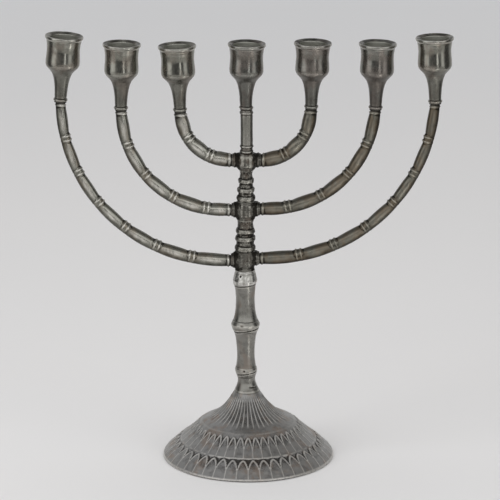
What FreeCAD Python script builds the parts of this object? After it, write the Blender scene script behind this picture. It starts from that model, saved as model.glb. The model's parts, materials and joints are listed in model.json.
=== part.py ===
"""A seven-branch table candelabrum (menorah) in cast pewter, as separate castings on a steel tie rod.

Millimetres, +Z up.  The origin is the middle of the foot's rim on the table.  The six arms and seven cups
lie in the XZ plane and the front faces -Y.  The column is a stack of castings: foot, stem, ferrule, three
hubs with two beaded spacers between them, and a centre shaft.  A rod through the stack clamps it under the
foot.  Each arm and each cup is held by a round spigot in a socket.
"""
import FreeCAD, Part
import math
import os
from collections import namedtuple

Vector = FreeCAD.Vector

# ---------------------------------------------------------------- foot: a hollow bell
FOOT_RADIUS = 69.3
FOOT_HEIGHT = 54.5
FOOT_WALL = 2.6
FOOT_CROWN = 8.5              # solid metal under the stem's seat
FOOT_RIM_HEIGHT = 3.2
FOOT_RIM_ROLL = 1.3
FOOT_SHOULDER_RADIUS = 40.0
FOOT_SHOULDER_HEIGHT = 28.0
FOOT_FLARE_RADIUS = 28.0
FOOT_FLARE_HEIGHT = 34.6
FOOT_FLARE_HOLLOW = 2.0       # how far the flare sags from a straight cone
FOOT_APRON_CROWN = 0.5        # how far the apron swells from a straight cone

# ---------------------------------------------------------------- stem: a bamboo baluster, station by station
STEM_SEAT_R = 10.5            # where the stem stands on the foot
STEM_NECK_RISE = 9.6
STEM_NECK_R = 7.0
STEM_BEVEL = 5.0              # height of the bevel under each node ridge
STEM_LOW_RIDGE_RISE = 8.5
STEM_LOW_RIDGE_R = 8.9
STEM_LOW_WAIST_RISE = 13.6
STEM_LOW_WAIST_R = 7.1
STEM_HIGH_RIDGE_RISE = 24.9
STEM_HIGH_RIDGE_R = 11.6
STEM_HIGH_WAIST_RISE = 19.9
STEM_HIGH_WAIST_R = 7.6
STEM_TOP_RISE = 13.9
RIDGE_UNDERCUT = 1.1          # how much smaller the section is at the bottom of a ridge's bevel

# ---------------------------------------------------------------- column joints and lengths, bottom to top
FERRULE_SEAT_R = 8.85
FERRULE_LENGTH = 11.8
FERRULE_RIDGE_R = 9.7
FERRULE_RIDGE_RISE = 3.4
LOWER_HUB_SEAT_R = 7.9
LOWER_SPACER_SEAT_R = 8.0
LOWER_SPACER_LENGTH = 27.2
MIDDLE_HUB_SEAT_R = 7.2
UPPER_SPACER_SEAT_R = 7.2
UPPER_SPACER_LENGTH = 26.9
UPPER_HUB_SEAT_R = 6.2
SHAFT_SEAT_R = 5.3
SHAFT_LENGTH = 35.0

# Beads of each spacer: height above its base, and crest radius.
LOWER_BEADS = ((3.0, 8.5), (11.0, 8.25), (17.2, 7.7))
UPPER_BEADS = ((3.4, 7.6), (10.0, 7.0), (17.6, 6.4))
BEAD_HALF_HEIGHT = 2.1
BEAD_GROOVE = 1.1             # depth of the groove beside a bead
SPACER_NECK = 1.5             # how much thinner a spacer's neck is than its last bead

# ---------------------------------------------------------------- hubs
HUB_WAIST_R = 6.4
HUB_REACH = 11.4              # column axis to the mouth of an arm socket
HUB_CROSS_R = 7.4             # round body lying across the column
HUB_CROSS_HALF = 4.5
HUB_FLARE_END = 8.1
LOWER_HUB_DROP = 8.8          # hub's bottom face to the arms' height
LOWER_HUB_RISE = 6.5          # arms' height to the hub's top face
MIDDLE_HUB_DROP = 7.6
MIDDLE_HUB_RISE = 6.2
UPPER_HUB_DROP = 7.45
UPPER_HUB_RISE = 6.0

# ---------------------------------------------------------------- arms
ARM_R = 4.85
ARM_SEAT_R = ARM_R + 0.15     # both sides of an arm's end joints
RING_R = ARM_R + 0.6          # crest of a node's ring
ROOT_RING_R = ARM_R + 0.85
RING_SECTION_R = 1.1
RING_OFFSET = 2.1             # a node's two rings stand this far each side of it, and so at each joint
FIRST_NODE = 12.0             # a node nearer the hub than this is left out

# One row per branch.  side: -1 left, +1 right.  lift: how far this arm's root stands off its hub's height.
# reach: column axis to the arm's outermost centreline.  run: column axis to the start of the bend.
# above: the joint under the cup, over the centre cup's joint.  lean: the cup's tilt towards +X, degrees.
# pitch: spacing of the nodes.
Branch = namedtuple("Branch", "name side hub lift reach run above lean pitch cup")
BRANCHES = (
    Branch("arm_outer_left", -1, "lower", -0.9, 146.8, 17.4, 6.4, 4.2, 29.6, "cup_1"),
    Branch("arm_middle_left", -1, "middle", -0.4, 98.9, 18.8, -0.2, 1.3, 28.6, "cup_2"),
    Branch("arm_inner_left", -1, "upper", 0.0, 52.0, 13.6, -1.6, -2.4, 22.5, "cup_3"),
    Branch("arm_inner_right", 1, "upper", 0.0, 51.8, 13.2, 0.8, 1.2, 22.5, "cup_5"),
    Branch("arm_middle_right", 1, "middle", 0.4, 102.8, 18.8, 0.2, 1.4, 28.6, "cup_6"),
    Branch("arm_outer_right", 1, "lower", 0.9, 150.1, 18.0, 5.0, -1.3, 29.6, "cup_7"),
)
CENTRE_CUP = "cup_4"
CENTRE_CUP_LEAN = 0.9

# ---------------------------------------------------------------- candle cup: one casting, heights above its joint
CANDLE_BORE_R = 11.1          # for a standard 22 mm candle
CANDLE_BORE_DEPTH = 18.6
CUP_LENGTH = 54.0
CUP_WALL = 1.6                # at the barrel's waist
CUP_WAIST_R = CANDLE_BORE_R + CUP_WALL
CUP_BULGE_R = CUP_WAIST_R + 0.5
CUP_RIM_R = CUP_WAIST_R + 2.4
CUP_LIP_HEIGHT = 2.8
CUP_LIP_SPREAD = 1.4          # rim beyond the barrel's top
CUP_BARREL_HEIGHT = 17.3      # bulge to the lip
CUP_SHOULDER_HEIGHT = 9.5     # cone from the neck's top to the bulge
CUP_NECK_TOP_R = 8.3
CUP_NECK_R = ARM_R + 0.05
CUP_NECK_WAIST_HEIGHT = 8.0
MOUTH_DISH = 1.2              # the lip's top slopes in to the bore by this much

# ---------------------------------------------------------------- joints and hidden hardware
SPIGOT_R = 3.0
SPIGOT_LENGTH = 5.5
SPIGOT_GAP = 0.15
SPIGOT_END_GAP = 0.5
ROD_R = 2.5
ROD_GAP = 0.25
ROD_THREAD_GAP = 0.05
ROD_IN_SHAFT = 16.0
ROD_PAST_NUT = 2.0
NUT_ACROSS_FLATS = 8.0
NUT_HEIGHT = 4.0
WASHER_R = 9.0
WASHER_THICKNESS = 1.5

# ---------------------------------------------------------------- heights that follow
STEM_BASE_Z = FOOT_HEIGHT
STEM_LENGTH = (STEM_NECK_RISE + STEM_LOW_RIDGE_RISE + STEM_LOW_WAIST_RISE
               + STEM_HIGH_RIDGE_RISE + STEM_HIGH_WAIST_RISE + STEM_TOP_RISE)
FERRULE_BASE_Z = STEM_BASE_Z + STEM_LENGTH
LOWER_HUB_BASE_Z = FERRULE_BASE_Z + FERRULE_LENGTH
LOWER_SPACER_BASE_Z = LOWER_HUB_BASE_Z + LOWER_HUB_DROP + LOWER_HUB_RISE
MIDDLE_HUB_BASE_Z = LOWER_SPACER_BASE_Z + LOWER_SPACER_LENGTH
UPPER_SPACER_BASE_Z = MIDDLE_HUB_BASE_Z + MIDDLE_HUB_DROP + MIDDLE_HUB_RISE
UPPER_HUB_BASE_Z = UPPER_SPACER_BASE_Z + UPPER_SPACER_LENGTH
SHAFT_BASE_Z = UPPER_HUB_BASE_Z + UPPER_HUB_DROP + UPPER_HUB_RISE
SHAFT_TOP_Z = SHAFT_BASE_Z + SHAFT_LENGTH
CROWN_Z = FOOT_HEIGHT - FOOT_CROWN
WASHER_Z = CROWN_Z - WASHER_THICKNESS
NUT_Z = WASHER_Z - NUT_HEIGHT
ARM_HEIGHT = {
    "lower": LOWER_HUB_BASE_Z + LOWER_HUB_DROP,
    "middle": MIDDLE_HUB_BASE_Z + MIDDLE_HUB_DROP,
    "upper": UPPER_HUB_BASE_Z + UPPER_HUB_DROP,
}


# ---------------------------------------------------------------- drawing helpers
class Outline:
    """Half of a turned section, drawn upwards from its foot as radius and height."""

    def __init__(self, r, z):
        self.edges = []
        self.here = Vector(r, 0, z)
        self.start = self.here

    def line(self, r, z):
        end = Vector(r, 0, z)
        self.edges.append(Part.LineSegment(self.here, end).toShape())
        self.here = end

    def arc(self, mid_r, mid_z, r, z):
        end = Vector(r, 0, z)
        self.edges.append(Part.Arc(self.here, Vector(mid_r, 0, mid_z), end).toShape())
        self.here = end

    def bow(self, r, z, swell):
        """An arc whose middle stands `swell` outside the straight line to its end."""
        end = Vector(r, 0, z)
        along = end - self.here
        middle = (end + self.here) * 0.5
        outward = Vector(along.z, 0, -along.x).normalize()
        if outward.x < 0:
            outward = outward * -1
        peak = middle + outward * swell
        self.arc(peak.x, peak.z, r, z)

    def waist(self, r, z, leaving):
        """An arc that is upright at its thin end: where it starts if `leaving`, else where it ends."""
        thin_r = self.here.x if leaving else r
        thick_r = r if leaving else self.here.x
        rise = z - self.here.z
        bend_r = (rise ** 2 + (thick_r - thin_r) ** 2) / (2 * (thick_r - thin_r))
        mid_r = thin_r + bend_r - math.sqrt(bend_r ** 2 - (rise / 2) ** 2)
        self.arc(mid_r, self.here.z + rise / 2, r, z)

    def bead(self, crest_r, crest_z, half_height, root_r):
        """A straight run up to a half-round ring, and the ring itself."""
        self.line(root_r, crest_z - half_height)
        self.arc(crest_r, crest_z, root_r, crest_z + half_height)

    def turned(self):
        """Close the section on the axis and turn it into a solid."""
        self.line(0, self.here.z)
        self.line(0, self.start.z)
        self.line(self.start.x, self.start.z)
        face = Part.Face(Part.Wire(self.edges))
        return face.revolve(Vector(0, 0, 0), Vector(0, 0, 1), 360)


def peg(radius, length, base, direction):
    return Part.makeCylinder(radius, length, base, direction)


def stood_at(shape, base, direction):
    """Move a shape built on +Z so that its origin is at `base` and its axis points along `direction`."""
    shape.Placement = FreeCAD.Placement(base, FreeCAD.Rotation(Vector(0, 0, 1), direction))
    return shape


def rod_hole(solid, low_z, high_z):
    """Bore the tie rod's clearance hole through a column casting."""
    hole = peg(ROD_R + ROD_GAP, high_z - low_z + 2, Vector(0, 0, low_z - 1), Vector(0, 0, 1))
    return solid.cut(hole)


def lean_axis(degrees):
    return Vector(math.sin(math.radians(degrees)), 0, math.cos(math.radians(degrees)))


# ---------------------------------------------------------------- foot
def foot_anchors():
    """The bell's outer shape from the stem's seat down to the top of the rolled rim."""
    return [
        Vector(STEM_SEAT_R, 0, FOOT_HEIGHT),
        Vector(FOOT_FLARE_RADIUS, 0, FOOT_FLARE_HEIGHT),
        Vector(FOOT_SHOULDER_RADIUS, 0, FOOT_SHOULDER_HEIGHT),
        Vector(FOOT_RADIUS - FOOT_RIM_ROLL, 0, FOOT_RIM_HEIGHT),
    ]


def inset(anchors, wall):
    """The same anchors moved in by a wall's thickness, square to the surface."""
    normals = []
    for low, high in zip(anchors, anchors[1:]):
        along = (high - low).normalize()
        normals.append(Vector(along.z, 0, -along.x))
    before = normals[:1] + normals
    after = normals + normals[-1:]
    return [point + (a + b).normalize() * wall for point, a, b in zip(anchors, before, after)]


def bell(anchors, bottom_z, rim_r):
    """A bell-shaped solid: hollow flare, straight shoulder, slightly swollen apron, rim down to bottom_z."""
    crown, flare, shoulder, apron = anchors
    outline = Outline(rim_r, bottom_z)
    outline.line(apron.x, apron.z)
    outline.bow(shoulder.x, shoulder.z, FOOT_APRON_CROWN)
    outline.line(flare.x, flare.z)
    outline.bow(crown.x, crown.z, -FOOT_FLARE_HOLLOW)
    return outline.turned()


def foot():
    outer = bell(foot_anchors(), 0, FOOT_RADIUS)
    inner_anchors = inset(foot_anchors(), FOOT_WALL)
    hollow = bell(inner_anchors, -1, inner_anchors[-1].x)
    below_crown = peg(FOOT_RADIUS, CROWN_Z + 1, Vector(0, 0, -1), Vector(0, 0, 1))
    shell = outer.cut(hollow.common(below_crown))
    return rod_hole(shell, CROWN_Z, FOOT_HEIGHT)


# ---------------------------------------------------------------- stem and ferrule
def stem():
    low_ridge_z = STEM_BASE_Z + STEM_NECK_RISE + STEM_LOW_RIDGE_RISE
    low_waist_z = low_ridge_z + STEM_LOW_WAIST_RISE
    high_ridge_z = low_waist_z + STEM_HIGH_RIDGE_RISE
    high_waist_z = high_ridge_z + STEM_HIGH_WAIST_RISE
    outline = Outline(STEM_SEAT_R, STEM_BASE_Z)
    outline.waist(STEM_NECK_R, STEM_BASE_Z + STEM_NECK_RISE, leaving=False)
    outline.waist(STEM_LOW_RIDGE_R - RIDGE_UNDERCUT, low_ridge_z - STEM_BEVEL, leaving=True)
    outline.line(STEM_LOW_RIDGE_R, low_ridge_z)
    outline.waist(STEM_LOW_WAIST_R, low_waist_z, leaving=False)
    outline.waist(STEM_HIGH_RIDGE_R - RIDGE_UNDERCUT, high_ridge_z - STEM_BEVEL, leaving=True)
    outline.line(STEM_HIGH_RIDGE_R, high_ridge_z)
    outline.waist(STEM_HIGH_WAIST_R, high_waist_z, leaving=False)
    outline.waist(FERRULE_SEAT_R, FERRULE_BASE_Z, leaving=True)
    return rod_hole(outline.turned(), STEM_BASE_Z, FERRULE_BASE_Z)


def stem_ferrule():
    outline = Outline(FERRULE_SEAT_R, FERRULE_BASE_Z)
    outline.line(FERRULE_RIDGE_R, FERRULE_BASE_Z + FERRULE_RIDGE_RISE)
    outline.line(LOWER_HUB_SEAT_R, LOWER_HUB_BASE_Z)
    return rod_hole(outline.turned(), FERRULE_BASE_Z, LOWER_HUB_BASE_Z)


# ---------------------------------------------------------------- hubs and spacers
def hub_cross_half():
    """One half of the body that lies across the column: barrel, flare, ring and socket mouth, on +Z."""
    outline = Outline(HUB_CROSS_R, 0)
    outline.line(HUB_CROSS_R, HUB_CROSS_HALF)
    outline.bow(ARM_SEAT_R, HUB_FLARE_END, -0.5)
    outline.bead(ROOT_RING_R, HUB_REACH - RING_OFFSET, RING_SECTION_R, ARM_SEAT_R)
    outline.line(ARM_SEAT_R, HUB_REACH)
    return outline.turned()


def hub(level, base_z, top_z, base_r, top_r):
    """A cross piece: a waisted column body with a socket each way for the two arms at this level."""
    column = Outline(base_r, base_z)
    column.arc(HUB_WAIST_R, (base_z + top_z) / 2, top_r, top_z)
    solid = column.turned()
    sockets = []
    for branch in (b for b in BRANCHES if b.hub == level):
        outward = Vector(branch.side, 0, 0)
        mouth = Vector(branch.side * HUB_REACH, 0, ARM_HEIGHT[level] + branch.lift)
        solid = solid.fuse(stood_at(hub_cross_half(), Vector(0, 0, mouth.z), outward))
        depth = SPIGOT_LENGTH + SPIGOT_END_GAP
        sockets.append(peg(SPIGOT_R + SPIGOT_GAP, depth, mouth, outward * -1))
    slab = peg(2 * HUB_REACH, top_z - base_z, Vector(0, 0, base_z), Vector(0, 0, 1))
    solid = solid.common(slab)
    for socket in sockets:
        solid = solid.cut(socket)
    return rod_hole(solid, base_z, top_z)


def spacer(base_z, length, base_r, top_r, beads):
    """A ringed column piece: beads up from the bottom, then a neck that flares to the next hub."""
    outline = Outline(base_r, base_z)
    for rise, crest_r in beads:
        outline.bead(crest_r, base_z + rise, BEAD_HALF_HEIGHT, crest_r - BEAD_GROOVE)
    last_rise, last_crest_r = beads[-1]
    neck_r = last_crest_r - SPACER_NECK
    neck_z = base_z + (last_rise + BEAD_HALF_HEIGHT + length) / 2
    outline.line(neck_r, neck_z)
    outline.waist(top_r, base_z + length, leaving=True)
    return rod_hole(outline.turned(), base_z, base_z + length)


def centre_shaft():
    """The column's last piece: a double ring, a plain shaft, a ring under the cup, a spigot on top."""
    outline = Outline(SHAFT_SEAT_R, SHAFT_BASE_Z)
    for rise in (RING_SECTION_R, RING_SECTION_R + 2 * RING_OFFSET):
        outline.bead(RING_R, SHAFT_BASE_Z + rise + 0.1, RING_SECTION_R, ARM_R)
    outline.bead(RING_R, SHAFT_TOP_Z - RING_OFFSET, RING_SECTION_R, ARM_R)
    outline.line(ARM_R, SHAFT_TOP_Z + RING_SECTION_R)
    tip = Vector(0, 0, SHAFT_TOP_Z)
    shaft = end_joint(outline.turned(), tip, lean_axis(CENTRE_CUP_LEAN))
    tapped = peg(ROD_R + ROD_THREAD_GAP, ROD_IN_SHAFT + 1, Vector(0, 0, SHAFT_BASE_Z - 1), Vector(0, 0, 1))
    return shaft.cut(tapped)


def end_joint(solid, tip, cup_axis):
    """Face a shaft's or an arm's end square to its cup, and stand the cup's spigot on it."""
    above = peg(4 * ARM_R, 4 * ARM_R, tip, cup_axis)
    spigot = peg(SPIGOT_R, SPIGOT_LENGTH, tip, cup_axis)
    return solid.cut(above).fuse(spigot)


# ---------------------------------------------------------------- arms
class ArmPath:
    """An arm's centreline: a straight root, a round bend upwards, and a straight tail if there is room."""

    def __init__(self, branch):
        self.side = branch.side
        self.root_z = ARM_HEIGHT[branch.hub] + branch.lift
        self.run = branch.run
        self.bend_r = branch.reach - branch.run
        rise = SHAFT_TOP_Z + branch.above - self.root_z
        climb = min(rise, self.bend_r)
        self.turn = math.acos(1 - climb / self.bend_r)
        self.tail = rise - climb
        self.root_length = self.run - HUB_REACH
        self.bend_length = self.bend_r * self.turn
        self.length = self.root_length + self.bend_length + self.tail

    def place(self, distance):
        """The point and the direction of the centreline, `distance` from the hub."""
        angle = min(max(distance - self.root_length, 0) / self.bend_r, self.turn)
        straight = min(distance, self.root_length)
        past = max(distance - self.root_length - self.bend_length, 0)
        x = HUB_REACH + straight + self.bend_r * math.sin(angle) + past * math.cos(angle)
        z = self.root_z + self.bend_r * (1 - math.cos(angle)) + past * math.sin(angle)
        direction = Vector(self.side * math.cos(angle), 0, math.sin(angle))
        return Vector(self.side * x, 0, z), direction

    def wire(self, extra):
        """The centreline as edges, carried on straight by `extra` past the joint."""
        root, _ = self.place(0)
        bend_start, _ = self.place(self.root_length)
        bend_middle, _ = self.place(self.root_length + self.bend_length / 2)
        bend_end, _ = self.place(self.root_length + self.bend_length)
        tip, _ = self.place(self.length + extra)
        return Part.Wire([
            Part.LineSegment(root, bend_start).toShape(),
            Part.Arc(bend_start, bend_middle, bend_end).toShape(),
            Part.LineSegment(bend_end, tip).toShape(),
        ])


def node_distances(path, pitch):
    """Distances from the hub of an arm's nodes, counted back from the cup's joint."""
    count = int((path.length - FIRST_NODE) / pitch)
    return [path.length - pitch * (i + 1) for i in range(count)]


def ring(point, direction, crest_r):
    return Part.makeTorus(crest_r - RING_SECTION_R, RING_SECTION_R, point, direction)


def arm(branch):
    """A bamboo arm: tube, double rings at its nodes, one ring and a spigot at each end."""
    path = ArmPath(branch)
    root, outward = path.place(0)
    tip, _ = path.place(path.length)
    cup_axis = lean_axis(branch.lean)
    section = Part.Face(Part.Wire(Part.makeCircle(ARM_R, root, outward)))
    solid = path.wire(ARM_R).makePipe(section)
    rings = [ring(root + outward * RING_OFFSET, outward, ROOT_RING_R)]
    for distance in node_distances(path, branch.pitch):
        for side in (-RING_OFFSET, RING_OFFSET):
            point, direction = path.place(distance + side)
            rings.append(ring(point, direction, RING_R))
    solid = end_joint(solid.multiFuse(rings), tip, cup_axis)
    solid = solid.fuse(ring(tip - cup_axis * RING_OFFSET, cup_axis, RING_R))
    return solid.fuse(peg(SPIGOT_R, SPIGOT_LENGTH, root, outward * -1))


# ---------------------------------------------------------------- candle cups
def candle_cup():
    """One cup casting on +Z with its joint face at the origin."""
    lip_z = CUP_LENGTH - CUP_LIP_HEIGHT
    bulge_z = lip_z - CUP_BARREL_HEIGHT
    neck_top_z = bulge_z - CUP_SHOULDER_HEIGHT
    barrel_r = CUP_RIM_R - CUP_LIP_SPREAD
    outline = Outline(ARM_SEAT_R, 0)
    outline.bead(RING_R, RING_OFFSET, RING_SECTION_R, ARM_SEAT_R - 0.1)
    outline.line(CUP_NECK_R, CUP_NECK_WAIST_HEIGHT)
    outline.waist(CUP_NECK_TOP_R, neck_top_z, leaving=True)
    outline.bow(CUP_BULGE_R, bulge_z, 1.2)
    outline.arc(CUP_WAIST_R, (bulge_z + lip_z) / 2, barrel_r, lip_z)
    outline.arc(CUP_RIM_R, lip_z + CUP_LIP_HEIGHT / 2 + 0.6, CUP_RIM_R - 0.4, CUP_LENGTH)
    solid = outline.turned()
    floor_z = CUP_LENGTH - MOUTH_DISH - CANDLE_BORE_DEPTH
    bore = peg(CANDLE_BORE_R, CUP_LENGTH - floor_z, Vector(0, 0, floor_z), Vector(0, 0, 1))
    dish_r = CUP_RIM_R - 0.9
    dish_base = Vector(0, 0, CUP_LENGTH - MOUTH_DISH)
    dish = Part.makeCone(CANDLE_BORE_R, dish_r, MOUTH_DISH, dish_base, Vector(0, 0, 1))
    depth = SPIGOT_LENGTH + SPIGOT_END_GAP
    socket = peg(SPIGOT_R + SPIGOT_GAP, depth, Vector(0, 0, 0), Vector(0, 0, 1))
    return solid.cut(bore).cut(dish).cut(socket)


# ---------------------------------------------------------------- hidden hardware
def tie_rod():
    low_z = NUT_Z - ROD_PAST_NUT
    high_z = SHAFT_BASE_Z + ROD_IN_SHAFT - SPIGOT_END_GAP
    return peg(ROD_R, high_z - low_z, Vector(0, 0, low_z), Vector(0, 0, 1))


def foot_washer():
    disc = peg(WASHER_R, WASHER_THICKNESS, Vector(0, 0, WASHER_Z), Vector(0, 0, 1))
    return rod_hole(disc, WASHER_Z, CROWN_Z)


def foot_nut():
    corner_r = NUT_ACROSS_FLATS / math.sqrt(3)
    corners = [Vector(corner_r * math.cos(math.radians(a)), corner_r * math.sin(math.radians(a)), NUT_Z)
               for a in range(0, 361, 60)]
    hexagon = Part.Face(Part.makePolygon(corners)).extrude(Vector(0, 0, NUT_HEIGHT))
    thread = peg(ROD_R + ROD_THREAD_GAP, NUT_HEIGHT + 2, Vector(0, 0, NUT_Z - 1), Vector(0, 0, 1))
    return hexagon.cut(thread)


# ---------------------------------------------------------------- assembly
def column_pieces():
    return {
        "foot": foot(),
        "stem": stem(),
        "stem_ferrule": stem_ferrule(),
        "lower_hub": hub("lower", LOWER_HUB_BASE_Z, LOWER_SPACER_BASE_Z, LOWER_HUB_SEAT_R, LOWER_SPACER_SEAT_R),
        "lower_spacer": spacer(LOWER_SPACER_BASE_Z, LOWER_SPACER_LENGTH, LOWER_SPACER_SEAT_R,
                               MIDDLE_HUB_SEAT_R, LOWER_BEADS),
        "middle_hub": hub("middle", MIDDLE_HUB_BASE_Z, UPPER_SPACER_BASE_Z, MIDDLE_HUB_SEAT_R,
                          UPPER_SPACER_SEAT_R),
        "upper_spacer": spacer(UPPER_SPACER_BASE_Z, UPPER_SPACER_LENGTH, UPPER_SPACER_SEAT_R,
                               UPPER_HUB_SEAT_R, UPPER_BEADS),
        "upper_hub": hub("upper", UPPER_HUB_BASE_Z, SHAFT_BASE_Z, UPPER_HUB_SEAT_R, SHAFT_SEAT_R),
        "centre_shaft": centre_shaft(),
        "tie_rod": tie_rod(),
        "foot_washer": foot_washer(),
        "foot_nut": foot_nut(),
    }


def branch_pieces():
    """The six arms, and the seven cups standing on the arms and on the centre shaft."""
    pieces = {}
    shaft_top = Vector(0, 0, SHAFT_TOP_Z)
    pieces[CENTRE_CUP] = stood_at(candle_cup(), shaft_top, lean_axis(CENTRE_CUP_LEAN))
    for branch in BRANCHES:
        path = ArmPath(branch)
        tip, _ = path.place(path.length)
        pieces[branch.name] = arm(branch)
        pieces[branch.cup] = stood_at(candle_cup(), tip, lean_axis(branch.lean))
    return pieces


def main():
    os.makedirs("parts", exist_ok=True)
    pieces = {**column_pieces(), **branch_pieces()}
    for name, shape in pieces.items():
        if len(shape.Solids) != 1 or not shape.isValid():
            raise ValueError(name + " is not one valid solid")
        shape.Solids[0].exportStep("parts/" + name + ".step")
        print(name, round(shape.Volume), "mm3")


main()
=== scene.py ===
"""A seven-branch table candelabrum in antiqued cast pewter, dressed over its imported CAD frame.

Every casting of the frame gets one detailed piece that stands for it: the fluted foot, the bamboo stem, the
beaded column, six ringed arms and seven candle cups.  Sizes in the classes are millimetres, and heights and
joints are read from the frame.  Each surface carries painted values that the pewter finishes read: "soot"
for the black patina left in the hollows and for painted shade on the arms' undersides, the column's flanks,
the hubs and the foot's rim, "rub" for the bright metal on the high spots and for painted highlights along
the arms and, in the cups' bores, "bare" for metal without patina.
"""
import json
import logging
import math
from dataclasses import dataclass, field
from enum import Enum

import bpy
import numpy as np
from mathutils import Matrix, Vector, noise


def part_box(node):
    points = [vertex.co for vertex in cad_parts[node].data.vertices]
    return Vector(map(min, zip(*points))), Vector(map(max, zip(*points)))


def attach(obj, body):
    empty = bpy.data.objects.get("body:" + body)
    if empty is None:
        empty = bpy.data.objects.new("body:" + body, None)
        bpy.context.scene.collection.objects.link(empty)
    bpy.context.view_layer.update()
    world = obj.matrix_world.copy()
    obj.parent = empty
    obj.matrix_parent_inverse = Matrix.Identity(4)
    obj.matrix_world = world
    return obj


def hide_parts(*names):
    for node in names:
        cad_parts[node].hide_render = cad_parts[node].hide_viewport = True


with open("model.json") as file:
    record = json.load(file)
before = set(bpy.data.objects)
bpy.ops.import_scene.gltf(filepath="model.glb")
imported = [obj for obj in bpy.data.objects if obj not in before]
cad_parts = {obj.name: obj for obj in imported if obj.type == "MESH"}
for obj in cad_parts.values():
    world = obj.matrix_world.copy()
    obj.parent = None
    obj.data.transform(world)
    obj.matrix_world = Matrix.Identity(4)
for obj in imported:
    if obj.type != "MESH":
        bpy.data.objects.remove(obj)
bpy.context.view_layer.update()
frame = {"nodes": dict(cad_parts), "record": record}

log = logging.getLogger("candelabrum")
MM = 0.001
FRONT = np.array([0.0, -1.0, 0.0])
Socket = bpy.types.NodeSocket | float | tuple

# How far the column's middle stands off its axis: height, and distance to the right, mm.
COLUMN_DRIFT = ((0, 2.0), (30, 1.9), (54, 0.9), (75, 0.1), (110, -0.25), (150, -0.6),
                (175, -0.5), (205, -0.1), (247, 0.5), (262, 0.75), (284, 0.65), (296, 0.0))


class Slot(Enum):
    """The record's material slots."""

    FOOT = "pewter_foot"
    COLUMN = "pewter_column"
    ARM = "pewter_arm"
    CUP = "pewter_cup"
    STEEL = "steel"


class Side(Enum):
    """Which way an arm leaves the column."""

    LEFT = -1
    RIGHT = 1


# ------------------------------------------------------------------------------------------------ finishes
class ShaderBench:
    """Adds nodes to one material or world and wires them up."""

    def __init__(self, owner: bpy.types.Material | bpy.types.World) -> None:
        """Open the nodes of a new material or world.

        Args:
            owner: what the nodes are for.
        """
        self.owner = owner
        self.owner.use_nodes = True
        self.tree = owner.node_tree
        self.surface = self.tree.nodes.get("Principled BSDF")

    def put(self, socket: bpy.types.NodeSocket, value: Socket) -> None:
        """Give a socket its value.

        Args:
            socket: the input to feed.
            value: an output to link into it, or a number or colour to set there.
        """
        if isinstance(value, bpy.types.NodeSocket):
            self.tree.links.new(value, socket)
        else:
            socket.default_value = value

    def node(self, kind: str, inputs: dict, **settings: object) -> bpy.types.Node:
        """Add one node.

        Args:
            kind: the node's Blender type.
            inputs: socket name or number to a value or an output.
            settings: the node's own properties.

        Returns:
            The new node.
        """
        made = self.tree.nodes.new(kind)
        for key, value in settings.items():
            setattr(made, key, value)
        for key, value in inputs.items():
            self.put(made.inputs[key], value)
        return made

    def painted(self, name: str) -> bpy.types.NodeSocket:
        """The value painted on the mesh under that name."""
        return self.node("ShaderNodeAttribute", {}, attribute_name=name).outputs["Fac"]

    def place(self, stretch: tuple = (1.0, 1.0, 1.0)) -> bpy.types.NodeSocket:
        """Object coordinates, scaled per axis."""
        coords = self.node("ShaderNodeTexCoord", {}).outputs["Object"]
        return self.node("ShaderNodeMapping", {"Vector": coords, "Scale": stretch}).outputs["Vector"]

    def clouds(self, size: float, detail: float, stretch: tuple = (1.0, 1.0, 1.0)) -> bpy.types.NodeSocket:
        """Noise from 0 to 1 in blobs of a size in mm, drawn out along an axis whose stretch is below 1."""
        inputs = {"Vector": self.place(stretch), "Scale": 1 / (size * MM), "Detail": detail}
        return self.node("ShaderNodeTexNoise", {**inputs, "Roughness": 0.55}).outputs["Fac"]

    def ramp(self, value: Socket, low: float, high: float, start: float = 0.0,
             end: float = 1.0) -> bpy.types.NodeSocket:
        """Map low..high to start..end with a soft shoulder at each end."""
        inputs = {"Value": value, "From Min": low, "From Max": high, "To Min": start, "To Max": end}
        return self.node("ShaderNodeMapRange", inputs, interpolation_type="SMOOTHSTEP").outputs["Result"]

    def calc(self, operation: str, a: Socket, b: Socket, clamp: bool = False) -> bpy.types.NodeSocket:
        """Arithmetic on two values."""
        return self.node("ShaderNodeMath", {0: a, 1: b}, operation=operation, use_clamp=clamp).outputs[0]

    def blend(self, share: Socket, a: Socket, b: Socket) -> bpy.types.NodeSocket:
        """Mix two colours.

        Args:
            share: how much of the second, 0 to 1.
            a: the first colour.
            b: the second.

        Returns:
            The mixed colour.
        """
        made = self.node("ShaderNodeMix", {"Factor": share}, data_type="RGBA")
        self.put(made.inputs["A"], a)
        self.put(made.inputs["B"], b)
        return made.outputs["Result"]


def colour(red: float, green: float, blue: float) -> tuple:
    """An opaque colour."""
    return (red, green, blue, 1.0)


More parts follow.
